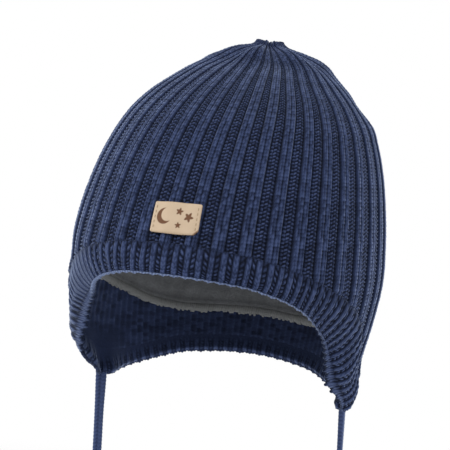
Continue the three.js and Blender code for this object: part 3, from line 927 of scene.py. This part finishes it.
def makeInside(knit):
    count = int(hatForm["ribs"] * knit["lines"] * knit["columnsPerLine"])
    around = np.linspace(-180, 180, count + 1) + hatForm["ribTurn"]
    pick = pickRiseAt(around)
    side = np.abs(signedAround(around))
    low = pick - knit["reachDown"] / hatForm["crownHeight"]
    high = liningLow(around) + knit["overlap"] / hatForm["crownHeight"]
    high = np.maximum(high, low + 0.004 / hatForm["crownHeight"])
    rows = np.linspace(0, 1, knit["rows"])[:, None]
    rise = low + (high - low) * rows
    line = np.arange(count + 1)[None, :] / knit["columnsPerLine"]
    course = rise * hatForm["crownHeight"] / crownKnit["courseHeight"]
    ridge = 0.5 + 0.5 * np.cos(2 * math.pi * line) + 0 * course
    bump = 0.5 + 0.5 * np.cos(2 * math.pi * (course + 0.5 * line))
    above = (rise - pick) * hatForm["crownHeight"]
    near = 1 - smoothStep(*knit["calmSpan"], np.abs(side - hatForm["tipAround"]))
    calm = 1 - near * (1 - smoothStep(0, knit["calmHeight"], above))  # plain at the flap tips
    lift = knit["overBand"] * (1 - smoothStep(0, knit["overFade"], above))
    tuck = knit["tuck"] * (1 - smoothStep(0, knit["tuckLength"], above + knit["reachDown"]))
    depth = hatForm["knitWall"] - 0.0002 + lift - tuck
    depth = depth + calm * (knit["lineRelief"] * ridge + knit["bumpRelief"] * bump)
    points = settle(offsetPoint(around[None, :] + 0 * rise, rise, -depth))
    uv = np.stack([line * 1.7 + 0 * rise, course], -1)
    grain = stitchGrain(line + 0 * course, course + 0 * line, 9)
    # painted light on the inner ridges and bumps, painted shade towards the back
    light = 0.42 + calm * (0.30 * ridge**3 * (0.5 + 0.5 * bump) + 0.20 * grain - 0.02)
    light = light * (1 - 0.25 * smoothStep(115, 150, side))
    return shapeGrid("knit_inside", points, uv, {"light": light}, weld=fineWeld, flip=True)


# The fleece lining: a cap with a wall, open below, and its overlocked hem.
liningCloth = {
    "columns": 192,
    "rows": 64,
    "outerRows": 14,
    "domeRows": 12,
    "channelDepth": 0.0010,
    "channelUp": 0.0030,
    "channelWide": 0.0020,
    "footSwell": 0.0003,
    "footUp": 0.0010,
    "liftAround": 122.0,  # on the +X side the edge sits a little higher
    "liftWide": 24.0,
    "lift": 0.0038,
    "waver": 0.0004,
}
liningHem = {
    "height": 0.0047,
    "wall": 0.0023,
    "columns": 2100,
    "sides": 10,
    "gap": -0.0006,
    "wrapSpacing": 0.00115,
    "wrapRelief": 0.00042,
    "ragged": 0.0006,
    "waver": 0.0003,
}


def makeLining(cloth):
    around = np.linspace(-180, 180, cloth["columns"] + 1)
    low = liningLow(around)

    def cap(rowCount, depth, shaped):
        rows = np.linspace(0, 1, rowCount)[:, None]
        rise = hatForm["liningTop"] + (low - hatForm["liningTop"]) * rows
        inner = np.full(rise.shape, depth)
        if shaped:
            up = (rise - low) * hatForm["crownHeight"]
            channel = np.exp(-((up - cloth["channelUp"]) / cloth["channelWide"]) ** 2)
            inner = inner - cloth["channelDepth"] * channel
            inner = inner + cloth["footSwell"] * np.exp(-(up / cloth["footUp"]) ** 2)
            inner = inner + cloth["waver"] * ripple(around[None, :], rise * 0.1, 11)
        body = offsetPoint(around[None, :] + 0 * rise, rise, -inner)
        ring = body[0]
        middle = ring[:-1].mean(0) + np.array([0, 0, hatForm["liningDome"]])
        dome = []
        for share in np.linspace(0, 1, cloth["domeRows"], endpoint=False):
            bowl = middle + (ring - middle) * share
            bowl[:, 2] = ring[:, 2] + (middle[2] - ring[:, 2]) * (1 - share * share)
            dome.append(bowl)
        return np.concatenate([np.array(dome), body])

    inner = cap(cloth["rows"], liningDepth + hatForm["liningWall"], True)
    outer = cap(cloth["outerRows"], liningDepth, False)
    points = settle(np.concatenate([inner, outer[::-1]]))
    uv = np.zeros(points.shape[:2] + (2,))
    uv[..., 0] = around[None, :] / 360
    uv[..., 1] = np.linspace(0, 1, points.shape[0])[:, None]
    return shapeGrid("fleece_cap", points, uv, {}, weld=fineWeld)


def makeLiningHem(hem):
    around = np.linspace(-180, 180, hem["columns"] + 1)
    low = liningLow(around)
    middle = liningDepth + hatForm["liningWall"] / 2
    points, uvs = [], []
    ringRun = np.linalg.norm(np.diff(offsetPoint(around, low, -middle), axis=0), axis=1)
    run = np.concatenate([[0.0], np.cumsum(ringRun)])
    wraps = round(run[-1] / hem["wrapSpacing"])
    turn = run / run[-1] * wraps
    loop = grainTable[np.floor(turn).astype(int) % grainTable.shape[0], 3]
    shade = []
    for k in range(hem["sides"] + 1):
        angle = 2 * math.pi * k / hem["sides"]
        wrap = hem["wrapRelief"] * np.abs(np.cos(math.pi * (turn + 0.35 * math.cos(angle))))
        loose = hem["waver"] * ripple(around, angle * 0.002, 17)
        lower = (1 - math.cos(angle)) / 2
        down = hem["height"] * lower + hem["gap"] + loose + hem["ragged"] * loop * lower**3
        outHalf = np.where(math.sin(angle) > 0, hatForm["liningWall"] / 2,
                           hem["wall"] - hatForm["liningWall"] / 2)
        out = (outHalf + wrap) * math.sin(angle)
        points.append(offsetPoint(around, low - down / hatForm["crownHeight"], -middle + out))
        uvs.append(np.stack([turn, np.full(len(around), k / hem["sides"])], -1))
        # painted light on the raised wraps, with tone that differs at random from loop to loop
        shade.append(np.clip(0.35 + 0.55 * wrap / hem["wrapRelief"] + 0.2 * loop, 0, 1))
    return shapeGrid("fleece_hem", settle(np.array(points)), np.array(uvs),
                     {"wrap": np.array(shade)}, weld=fineWeld, flip=True)


insidePiece = makeInside(insideKnit)
print("inside knitted")
liningPiece = makeLining(liningCloth)
hemPiece = makeLiningHem(liningHem)
print("lining sewn")

# The leather patch on the front, bent over the ribs, with a laser print and small stitches.
patchCut = {
    "width": 0.0215,
    "height": 0.0129,
    "wall": 0.0012,
    "around": -4.6,
    "rise": 0.229,
    "turn": 2.6,
    "gap": 0.0003,
    "columns": 110,
    "rows": 70,
    "cornerCut": 0.0017,  # one corner only
    "cornerRound": 0.0004,
    "edgeBevel": 0.00030,
    "bevelReach": 0.0006,
    "bow": 0.00025,  # of the upper and lower edge
    "burntReach": (0.0003, 0.0007),
    "rimBurnt": 0.18,
    "sag": 0.00018,
    # crescent moon: centre, radius, bite centre, bite radius
    "moon": ((-0.0052, 0.0004), 0.0034, (-0.0037, 0.0012), 0.0029),
    # stars: centre, radius, turn in degrees
    "stars": [
        ((0.0014, 0.0028), 0.0017, 10.0),
        ((0.0058, 0.0006), 0.0022, -8.0),
        ((0.0016, -0.0030), 0.0014, 24.0),
    ],
    "starWaist": 0.45,
    "printEdge": 0.00012,
    "stitchLength": 0.0013,
    "stitchPitch": 0.0021,
    "stitchInset": 0.0013,
    "stitchWidth": 0.00040,
    "stitchLift": 0.00005,
}
patchPitch = 1 / (degree * halfBreadth * float(breadthAt(patchCut["rise"])))


def patchPoint(x, y, out, cut=patchCut):  # x, y in metres on the patch, out from its back
    turn = cut["turn"] * degree
    x, y = x * math.cos(turn) - y * math.sin(turn), x * math.sin(turn) + y * math.cos(turn)
    around = cut["around"] + x * patchPitch
    rise = cut["rise"] + y / hatForm["crownHeight"]
    ribs = np.cos((around - hatForm["ribTurn"]) * hatForm["ribs"] * degree)
    sag = cut["sag"] * (ribs - 1)
    return settle(offsetPoint(around, rise, hatForm["ribRelief"] + cut["gap"] + out + sag))


def printMask(x, y, cut):  # 1 on the print, 0 off it
    (mx, my), radius, (bx, by), bite = cut["moon"]
    moon = np.maximum(np.hypot(x - mx, y - my) - radius, bite - np.hypot(x - bx, y - by))
    nearest = moon
    for (sx, sy), size, turn in cut["stars"]:
        angle = np.arctan2(y - sy, x - sx) - turn * degree
        fold = np.abs(((angle / (2 * math.pi / 5) + 0.5) % 1) - 0.5) * 2
        reach = size * (1 - (1 - cut["starWaist"]) * fold)
        nearest = np.minimum(nearest, np.hypot(x - sx, y - sy) - reach)
    return 1 - smoothStep(-cut["printEdge"], cut["printEdge"], nearest)


def makePatch(cut):
    u = np.pad(np.linspace(-1, 1, cut["columns"]), 1, mode="edge")[None, :]
    v = np.pad(np.linspace(-1, 1, cut["rows"]), 1, mode="edge")[:, None]
    x = u * cut["width"] / 2 + 0 * v
    y = v * cut["height"] / 2 + 0 * u
    y = y + cut["bow"] * np.cos(math.pi * u / 2) * v
    # one corner cut short, the others barely rounded
    cutHere = (x > 0) & (y < 0)
    short = np.where(cutHere, cut["cornerCut"], cut["cornerRound"])
    over = np.maximum(np.abs(x) + np.abs(y) - (cut["width"] + cut["height"]) / 2 + short, 0)
    x = x - np.sign(x) * over / 2
    y = y - np.sign(y) * over / 2
    rim = np.minimum(cut["width"] / 2 - np.abs(x), cut["height"] / 2 - np.abs(y))
    bevel = cut["edgeBevel"] * (1 - smoothStep(0, cut["bevelReach"], rim))
    out = np.pad((cut["wall"] - bevel)[1:-1, 1:-1], 1)
    points = patchPoint(x, y, out)
    uv = np.stack([x, y], -1) * 100
    fromCut = (cut["width"] + cut["height"]) / 2 - cut["cornerCut"] - np.abs(x) - np.abs(y)
    burnt = (1 - smoothStep(*cut["burntReach"], fromCut)) * cutHere
    burnt = np.maximum(burnt, cut["rimBurnt"] * (1 - smoothStep(0, cut["burntReach"][0], rim)))
    return shapeGrid("sewn_patch", points, uv, {"print": printMask(x, y, cut), "burnt": burnt},
                     close=True)


def makePatchStitches(cut):
    bm = bmesh.new()
    half = cut["width"] / 2 - cut["stitchInset"]
    count = int((cut["height"] - 2 * cut["stitchInset"]) / cut["stitchPitch"])
    for side in (-1, 1):
        for k in range(count + 1):
            y = (k - count / 2) * cut["stitchPitch"]
            ends = [patchPoint(np.array(side * half), np.array(y + d * cut["stitchLength"] / 2),
                               np.array(cut["wall"] + cut["stitchLift"])) for d in (-1, 1)]
            low, high = Vector(ends[0]), Vector(ends[1])
            made = bmesh.ops.create_uvsphere(bm, u_segments=8, v_segments=6,
                                             radius=cut["stitchWidth"] / 2)
            stretch = (high - low).length / cut["stitchWidth"]
            bmesh.ops.scale(bm, vec=(1, 1, stretch), verts=made["verts"])
            turn = (high - low).to_track_quat("Z", "Y").to_matrix()
            bmesh.ops.rotate(bm, cent=(0, 0, 0), matrix=turn, verts=made["verts"])
            bmesh.ops.translate(bm, vec=(low + high) / 2, verts=made["verts"])
    mesh = bpy.data.meshes.new("patch_stitches")
    bm.to_mesh(mesh)
    bm.free()
    mesh.shade_smooth()
    return addPiece("patch_stitches", mesh)


patchPiece = makePatch(patchCut)
patchStitches = makePatchStitches(patchCut)
print("patch sewn on")

# Tie cords: flat knitted tubes that hang from the flap tips, each ending in a knot.
cordKnit = {
    "width": 0.0045,
    "thickness": 0.0026,
    "knotWidth": 0.008,
    "knotHeight": 0.009,
    "strand": 0.0012,
    "course": 0.00185,
    "ringsPerCourse": 5,
    "sides": 24,
    "groove": 0.16,
    "ridge": 0.07,
    "tail": 0.006,
    "below": 0.0006,
    "rooted": 0.002,
    "rootSwell": 0.22,
    "rootReach": 0.014,
    "flatness": 0.85,
    "capShare": 0.02,
    "capWeld": 0.00008,
}
cordRoutes = {
    "left": [
        (0, 0, 0), (0.0005, 0.0001, -0.008), (0.0011, 0.0002, -0.018), (0.0018, 0.0002, -0.030),
        (0.0026, 0, -0.044), (0.0033, -0.0004, -0.058), (0.0039, -0.001, -0.073),
        (0.0043, -0.0016, -0.088), (0.0046, -0.0021, -0.103), (0.0047, -0.0024, -0.118),
        (0.0047, -0.0025, -0.133), (0.0046, -0.0024, -0.148), (0.0045, -0.0022, -0.163),
        (0.0044, -0.002, -0.178), (0.0044, -0.0019, -0.191),
    ],
    "right": [
        (0, 0, 0), (0.0005, -0.0001, -0.008), (0.0011, -0.0002, -0.018),
        (0.0019, -0.0002, -0.030), (0.0027, 0, -0.044), (0.0035, 0.0003, -0.058),
        (0.0041, 0.0008, -0.073), (0.0046, 0.0013, -0.088), (0.0049, 0.0017, -0.103),
        (0.0051, 0.0019, -0.118), (0.0051, 0.0019, -0.133), (0.005, 0.0018, -0.148),
        (0.0049, 0.0016, -0.163), (0.0048, 0.0014, -0.178), (0.0048, 0.0013, -0.191),
    ],
}


def smoothRoute(points, count):  # a smooth curve through the points, evenly spaced
    points = np.array(points, float)
    padded = np.concatenate([[2 * points[0] - points[1]], points, [2 * points[-1] - points[-2]]])
    fine = []
    for i in range(len(points) - 1):
        p0, p1, p2, p3 = padded[i:i + 4]
        for t in np.linspace(0, 1, 24, endpoint=False):
            fine.append(0.5 * (2 * p1 + (p2 - p0) * t + (2 * p0 - 5 * p1 + 4 * p2 - p3) * t**2
                               + (3 * p1 - p0 - 3 * p2 + p3) * t**3))
    fine = np.array(fine + [points[-1]])
    run = np.concatenate([[0.0], np.cumsum(np.linalg.norm(np.diff(fine, axis=0), axis=1))])
    even = np.linspace(0, run[-1], count)
    return np.stack([np.interp(even, run, fine[:, k]) for k in range(3)], -1), run[-1]


def cordStart(turn):
    out = offsetPoint(turn * hatForm["tipAround"], tipRise, 0.0)
    under = offsetPoint(turn * hatForm["tipAround"], tipRise, -hatForm["knitWall"])
    start = settle((out + under) / 2)
    start[2] -= cordKnit["below"]
    return start


def tubeFrames(path, wide):  # across and thick directions at each ring, kept steady
    ahead = np.gradient(path, axis=0)
    ahead = ahead / np.linalg.norm(ahead, axis=1, keepdims=True)
    across = np.array(wide, float) - ahead * (ahead @ np.array(wide, float))[:, None]
    across = across / np.linalg.norm(across, axis=1, keepdims=True)
    return across, np.cross(ahead, across)


def makeTube(name, path, wide, x, y, light, uv):  # a tube on a path, both ends drawn shut
    across, deep = tubeFrames(path, wide)
    points = path[:, None] + across[:, None] * x[..., None] + deep[:, None] * y[..., None]
    start, end = (path[k] + (points[k] - path[k]) * cordKnit["capShare"] for k in (0, -1))
    points = np.concatenate([start[None], points, end[None]])
    light = np.pad(light, ((1, 1), (0, 0)), mode="edge")
    uv = np.pad(uv, ((1, 1), (0, 0), (0, 0)), mode="edge")
    return shapeGrid(name, points, uv, {"light": light}, weld=cordKnit["capWeld"], flip=True)


def makeCord(side, knit):
    start = cordStart(1 if side == "left" else -1)
    wide = (0, 1, 0) if side == "left" else (1, 0, 0)
    route = np.array([(0, 0, knit["rooted"])] + cordRoutes[side]) + start
    length = smoothRoute(route, 50)[1]
    rings = int(length / knit["course"] * knit["ringsPerCourse"]) + 1
    path = smoothRoute(route, rings)[0]
    angle = np.linspace(0, 2 * math.pi, knit["sides"] + 1)[None, :]
    course = (np.arange(rings) / knit["ringsPerCourse"])[:, None]
    # two wales on each face, with a groove between them
    half = np.abs(np.cos(angle))
    groove = knit["groove"] * np.exp(-(half / 0.22) ** 2)
    legs = np.abs(2 * half - 1)
    ridge = 0.5 + 0.5 * np.cos(2 * math.pi * (course + 0.5 * legs))
    swell = 1 - groove + knit["ridge"] * (ridge - 0.5)
    flatness = knit["flatness"]
    along = np.linspace(0, length, rings)[:, None]
    swell = swell * (1 + knit["rootSwell"] * np.exp(-(along / knit["rootReach"]) ** 2))
    x = np.sign(np.cos(angle)) * half**flatness * knit["width"] / 2 * swell
    y = np.sign(np.sin(angle)) * np.abs(np.sin(angle))**flatness * knit["thickness"] / 2 * swell
    # painted light on the stitch ridges, painted shade in the groove between the wales
    light = np.clip(0.68 + 0.32 * ridge - 0.30 * groove / knit["groove"], 0, 1)
    uv = np.stack([angle / (2 * math.pi) * 6 + 0 * course, course + 0 * angle], -1)
    cord = makeTube("cord_" + side, path, wide, x, y, light, uv)
    return cord


def makeKnot(side, knit):  # an overhand knot: the cord wraps itself once and leaves below
    start = cordStart(1 if side == "left" else -1)
    end = np.array(cordRoutes[side][-1]) + start
    wide, high = knit["knotWidth"] / 2, knit["knotHeight"] / 2
    loop = []
    for k in range(15):
        angle = math.radians(-60 + 30 * k)
        climb = -0.42 + 0.06 * k
        loop.append((0.58 * math.cos(angle), 0.52 * math.sin(angle), climb))
    shape = [(0, 0, 1.02), (0.16, -0.05, 0.62), (0.22, -0.12, 0.1)] + loop
    shape = shape + [(-0.30, 0.10, 0.35), (-0.14, 0.10, -0.2), (-0.05, 0.05, -0.8)]
    shape = shape + [(0.0, 0.0, -1.1), (0.05, 0.02, -1.0 - knit["tail"] / high)]
    centre = end - np.array([0, 0, high])
    route = centre + np.array(shape) * np.array([wide, wide, high])
    path = smoothRoute(route, 150)[0]
    angle = np.linspace(0, 2 * math.pi, 17)[None, :]
    course = np.linspace(0, 1, len(path))[:, None] * 24
    ridge = 0.5 + 0.5 * np.cos(2 * math.pi * (course + 0.5 * np.abs(np.cos(angle))))
    size = knit["strand"] * (1 + 0.10 * (ridge - 0.5))
    x, y = size * np.cos(angle), size * 0.85 * np.sin(angle)
    uv = np.stack([angle / (2 * math.pi) * 4 + 0 * course, course + 0 * angle], -1)
    # painted light on the strand's stitch ridges
    return makeTube("knot_" + side, path, (0.3, 1, 0.1), x, y, 0.45 + 0.5 * ridge, uv)


knots = {side: makeKnot(side, cordKnit) for side in ("left", "right")}
cords = {side: makeCord(side, cordKnit) for side in ("left", "right")}
print("cords tied")

# Yarn on every knitted piece: fibres over the stitches, with painted light on the raised stitches
# and painted shade between them.
yarnLook = {
    # lit is a painted highlight on raised stitches, plain the yarn's own tone, deep painted shade
    # between stitches
    "lit": (0.085, 0.118, 0.250),
    "plain": (0.038, 0.054, 0.122),
    "deep": (0.0085, 0.010, 0.018),
    # pale is the painted highlight of the cast-off chain
    "pale": (0.22, 0.28, 0.46),
    "fibreScale": 1500.0,
    "patchScale": 40.0,
    "stir": 0.55,
    "bump": 0.5,
    "bumpDistance": 0.0004,
    "roughness": 0.9,
    "specular": 0.04,
    # a painted sheen colour, mixed in on raised stitches seen at a grazing angle
    "fuzzSheen": (0.42, 0.50, 0.70),
    "fuzzSheenPower": 4.5,
    "fuzzSheenShare": 1.15,
    "sheen": 0.25,
    "sheenRoughness": 0.30,
    "sheenTint": (0.60, 0.72, 1.0),
}


def opaque(colour):
    return (*colour, 1.0)


def mixNode(nodes, inputs=None, **settings):
    return addNode(nodes, "Mix", inputs, data_type="RGBA", **settings)


def yarnGroup():  # colour and height of yarn from its place and its painted light, set by how far it stands out
    group = bpy.data.node_groups.new("yarn_fibres", "ShaderNodeTree")
    taken = (("Place", "Vector"), ("Light", "Float"), ("Fibre Scale", "Float"),
             ("Patch Scale", "Float"), ("Deep", "Color"), ("Plain", "Color"), ("Lit", "Color"),
             ("Pale", "Color"), ("Highlight", "Float"), ("Stir", "Float"))
    given = (("Color", "Color"), ("Height", "Float"))
    for way, sockets in (("INPUT", taken), ("OUTPUT", given)):
        for name, kind in sockets:
            group.interface.new_socket(name=name, in_out=way, socket_type="NodeSocket" + kind)
    nodes, links = group.nodes, group.links
    inside = nodes.new("NodeGroupInput")
    outside = nodes.new("NodeGroupOutput")
    fibres = addNode(nodes, "TexNoise", {"Detail": 5.0, "Roughness": 0.65, "Distortion": 0.6})
    patches = addNode(nodes, "TexNoise", {"Detail": 2.0})
    # painted light, unsettled a little by the fibres
    even = addNode(nodes, "Math", {1: 0.5}, operation="SUBTRACT")
    shift = addNode(nodes, "Math", operation="MULTIPLY_ADD")
    low = addNode(nodes, "MapRange", {"From Max": 0.55})
    high = addNode(nodes, "MapRange", {"From Min": 0.55})
    # dark mixes painted shade into the plain tone, bright mixes in the painted highlight
    dark, bright, edge = (mixNode(nodes) for _ in range(3))
    vary = mixNode(nodes, {"Factor": 0.22}, blend_type="MULTIPLY")
    join(links,
         (inside, "Place", fibres, "Vector"), (inside, "Fibre Scale", fibres, "Scale"),
         (inside, "Place", patches, "Vector"), (inside, "Patch Scale", patches, "Scale"),
         (fibres, "Fac", even, 0), (even, 0, shift, 0),
         (inside, "Stir", shift, 1), (inside, "Light", shift, 2),
         (shift, 0, low, "Value"), (shift, 0, high, "Value"),
         (low, "Result", dark, "Factor"), (inside, "Deep", dark, "A"),
         (inside, "Plain", dark, "B"), (high, "Result", bright, "Factor"),
         (dark, "Result", bright, "A"), (inside, "Lit", bright, "B"),
         (bright, "Result", vary, "A"), (patches, "Fac", vary, "B"),
         (inside, "Highlight", edge, "Factor"), (vary, "Result", edge, "A"),
         (inside, "Pale", edge, "B"), (edge, "Result", outside, "Color"),
         (fibres, "Fac", outside, "Height"))
    return group


fibreGroup = yarnGroup()


def makeYarn(name, look):
    material, nodes, links = newMaterial(name)
    coords = addNode(nodes, "TexCoord")
    light = addNode(nodes, "Attribute", attribute_name="light")
    # the pale attribute carries the chain's painted highlight
    pale = addNode(nodes, "Attribute", attribute_name="pale")
    tones = {tone.capitalize(): opaque(look[tone]) for tone in ("deep", "plain", "lit", "pale")}
    yarn = addNode(nodes, "Group", {
        "Stir": look["stir"], "Fibre Scale": look["fibreScale"],
        "Patch Scale": look["patchScale"], **tones,
    }, node_tree=fibreGroup)
    bump = addNode(nodes, "Bump", {"Strength": look["bump"], "Distance": look["bumpDistance"]})
    # painted sheen: fuzz that shows paler on raised stitches where they turn away from the view
    turning = addNode(nodes, "LayerWeight", {"Blend": 0.5})
    steep = addNode(nodes, "Math", {1: look["fuzzSheenPower"]}, operation="POWER")
    raised = addNode(nodes, "Math", operation="MULTIPLY")
    share = addNode(nodes, "Math", {1: look["fuzzSheenShare"]}, operation="MULTIPLY")
    fuzzSheen = mixNode(nodes, {"B": opaque(look["fuzzSheen"])})
    surface = addNode(nodes, "BsdfPrincipled", {
        "Roughness": look["roughness"],
        "Specular IOR Level": look["specular"],
        "Sheen Weight": look["sheen"],
        "Sheen Roughness": look["sheenRoughness"],
        "Sheen Tint": opaque(look["sheenTint"]),
    })
    out = addNode(nodes, "OutputMaterial")
    join(links,
         (coords, "Object", yarn, "Place"), (light, "Fac", yarn, "Light"),
         (pale, "Fac", yarn, "Highlight"), (turning, "Facing", steep, 0),
         (steep, 0, raised, 0), (light, "Fac", raised, 1), (raised, 0, share, 0),
         (share, 0, fuzzSheen, "Factor"), (yarn, "Color", fuzzSheen, "A"),
         (fuzzSheen, "Result", surface, "Base Color"), (yarn, "Height", bump, "Height"),
         (bump, "Normal", surface, "Normal"), (surface, 0, out, "Surface"))
    return material


fleeceLook = {
    "cap": (0.160, 0.166, 0.175),
    "hem": (0.165, 0.170, 0.170),
    "dark": 0.66,
    "bright": 1.3,
    "napScale": 900.0,
    "clumpScale": 160.0,
    # wrapShare sets how strongly the painted light of the hem's wraps shows
    "wrapShare": 1.6,
    "bump": 0.6,
    "bumpDistance": 0.0008,
    "roughness": 0.95,
    "specular": 0.15,
    "sheen": 0.3,
    "sheenRoughness": 0.5,
}


def makeFleece(name, colour, wraps, look):  # wraps is 1 on the overlocked hem, 0 on the cap; on the hem the wrap attribute adds painted light on the raised wraps
    material, nodes, links = newMaterial(name)
    coords = addNode(nodes, "TexCoord")
    wrap = addNode(nodes, "Attribute", attribute_name="wrap")
    nap = addNode(nodes, "TexNoise", {
        "Scale": look["napScale"], "Detail": 6.0, "Roughness": 0.7})
    clump = addNode(nodes, "TexNoise", {"Scale": look["clumpScale"], "Detail": 3.0})
    both = addNode(nodes, "Math", operation="ADD")
    stripe = addNode(nodes, "Math", {1: look["wrapShare"] * wraps}, operation="MULTIPLY_ADD")
    ramp = addNode(nodes, "MapRange", {
        "From Min": 0.6 + 0.3 * wraps, "From Max": 1.4 + 0.6 * wraps})
    tone = mixNode(nodes, {
        "A": opaque([look["dark"] * c for c in colour]),
        "B": opaque([look["bright"] * c for c in colour]),
    })
    bump = addNode(nodes, "Bump", {"Strength": look["bump"], "Distance": look["bumpDistance"]})
    surface = addNode(nodes, "BsdfPrincipled", {
        "Roughness": look["roughness"],
        "Specular IOR Level": look["specular"],
        "Sheen Weight": look["sheen"],
        "Sheen Roughness": look["sheenRoughness"],
    })
    out = addNode(nodes, "OutputMaterial")
    join(links,
         (coords, "Object", nap, "Vector"), (coords, "Object", clump, "Vector"),
         (nap, "Fac", both, 0), (clump, "Fac", both, 1),
         (wrap, "Fac", stripe, 0), (both, 0, stripe, 2), (stripe, 0, ramp, "Value"),
         (ramp, "Result", tone, "Factor"), (tone, "Result", surface, "Base Color"),
         (both, 0, bump, "Height"), (bump, "Normal", surface, "Normal"),
         (surface, 0, out, "Surface"))
    return material


leatherLook = {
    "face": (0.62, 0.46, 0.31),
    "pale": (0.70, 0.54, 0.38),
    "print": (0.165, 0.070, 0.030),
    "burnt": (0.24, 0.13, 0.07),
    "burntShare": 0.85,
    "printDepth": -0.6,
    "grainScale": 1500.0,
    "cloudScale": 220.0,
    "bump": 0.35,
    "bumpDistance": 0.0003,
    "roughness": 0.68,
    "specular": 0.35,
}


def makeLeather(look):
    material, nodes, links = newMaterial("patch_leather")
    coords = addNode(nodes, "TexCoord")
    printed = addNode(nodes, "Attribute", attribute_name="print")
    burnt = addNode(nodes, "Attribute", attribute_name="burnt")
    grain = addNode(nodes, "TexNoise", {"Scale": look["grainScale"], "Detail": 5.0})
    cloud = addNode(nodes, "TexNoise", {"Scale": look["cloudScale"]})
    tone = mixNode(nodes, {"A": opaque(look["face"]), "B": opaque(look["pale"])})
    inked = mixNode(nodes, {"B": opaque(look["print"])})
    edged = mixNode(nodes, {"B": opaque(look["burnt"])})
    share = addNode(nodes, "Math", {1: look["burntShare"]}, operation="MULTIPLY")
    sink = addNode(nodes, "Math", {1: look["printDepth"]}, operation="MULTIPLY_ADD")
    bump = addNode(nodes, "Bump", {"Strength": look["bump"], "Distance": look["bumpDistance"]})
    surface = addNode(nodes, "BsdfPrincipled", {
        "Roughness": look["roughness"], "Specular IOR Level": look["specular"]})
    out = addNode(nodes, "OutputMaterial")
    join(links,
         (coords, "Object", grain, "Vector"), (coords, "Object", cloud, "Vector"),
         (cloud, "Fac", tone, "Factor"), (tone, "Result", inked, "A"),
         (printed, "Fac", inked, "Factor"), (inked, "Result", edged, "A"),
         (burnt, "Fac", share, 0), (share, 0, edged, "Factor"),
         (edged, "Result", surface, "Base Color"), (printed, "Fac", sink, 0),
         (grain, "Fac", sink, 2), (sink, 0, bump, "Height"),
         (bump, "Normal", surface, "Normal"), (surface, 0, out, "Surface"))
    return material


threadLook = {
    "dark": (0.34, 0.23, 0.13),
    "pale": (0.50, 0.37, 0.23),
    "strandScale": 3000.0,
    "roughness": 0.6,
}


def makeThread(look):
    material, nodes, links = newMaterial("patch_thread")
    coords = addNode(nodes, "TexCoord")
    strands = addNode(nodes, "TexNoise", {"Scale": look["strandScale"]})
    tone = mixNode(nodes, {"A": opaque(look["dark"]), "B": opaque(look["pale"])})
    surface = addNode(nodes, "BsdfPrincipled", {"Roughness": look["roughness"]})
    out = addNode(nodes, "OutputMaterial")
    join(links,
         (coords, "Object", strands, "Vector"), (strands, "Fac", tone, "Factor"),
         (tone, "Result", surface, "Base Color"), (surface, 0, out, "Surface"))
    return material


crownYarn = makeYarn("knit_yarn", yarnLook)
fleeceCap = makeFleece("fleece_grey", fleeceLook["cap"], 0, fleeceLook)
fleeceEdge = makeFleece("fleece_hem_grey", fleeceLook["hem"], 1, fleeceLook)
leather = makeLeather(leatherLook)
thread = makeThread(threadLook)
print("materials mixed")


def dress(piece, material, slot, *nodes):
    piece.data.materials.append(material)
    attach(piece, "root")
    if nodes:
        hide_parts(*nodes)


for panel in crownPanels:
    dress(panel, crownYarn, "yarn", "knit_crown")
dress(insidePiece, crownYarn, "yarn", "knit_crown")
dress(hemBand, crownYarn, "yarn", "hem_band")
dress(liningPiece, fleeceCap, "fleece", "fleece_lining")
dress(hemPiece, fleeceEdge, "fleece", "lining_hem")
dress(patchPiece, leather, "patch_leather", "leather_patch")
dress(patchStitches, thread, "patch_leather")
for side in ("left", "right"):
    dress(cords[side], crownYarn, "yarn", "tie_cord_" + side)
    dress(knots[side], crownYarn, "yarn", "tie_knot_" + side)
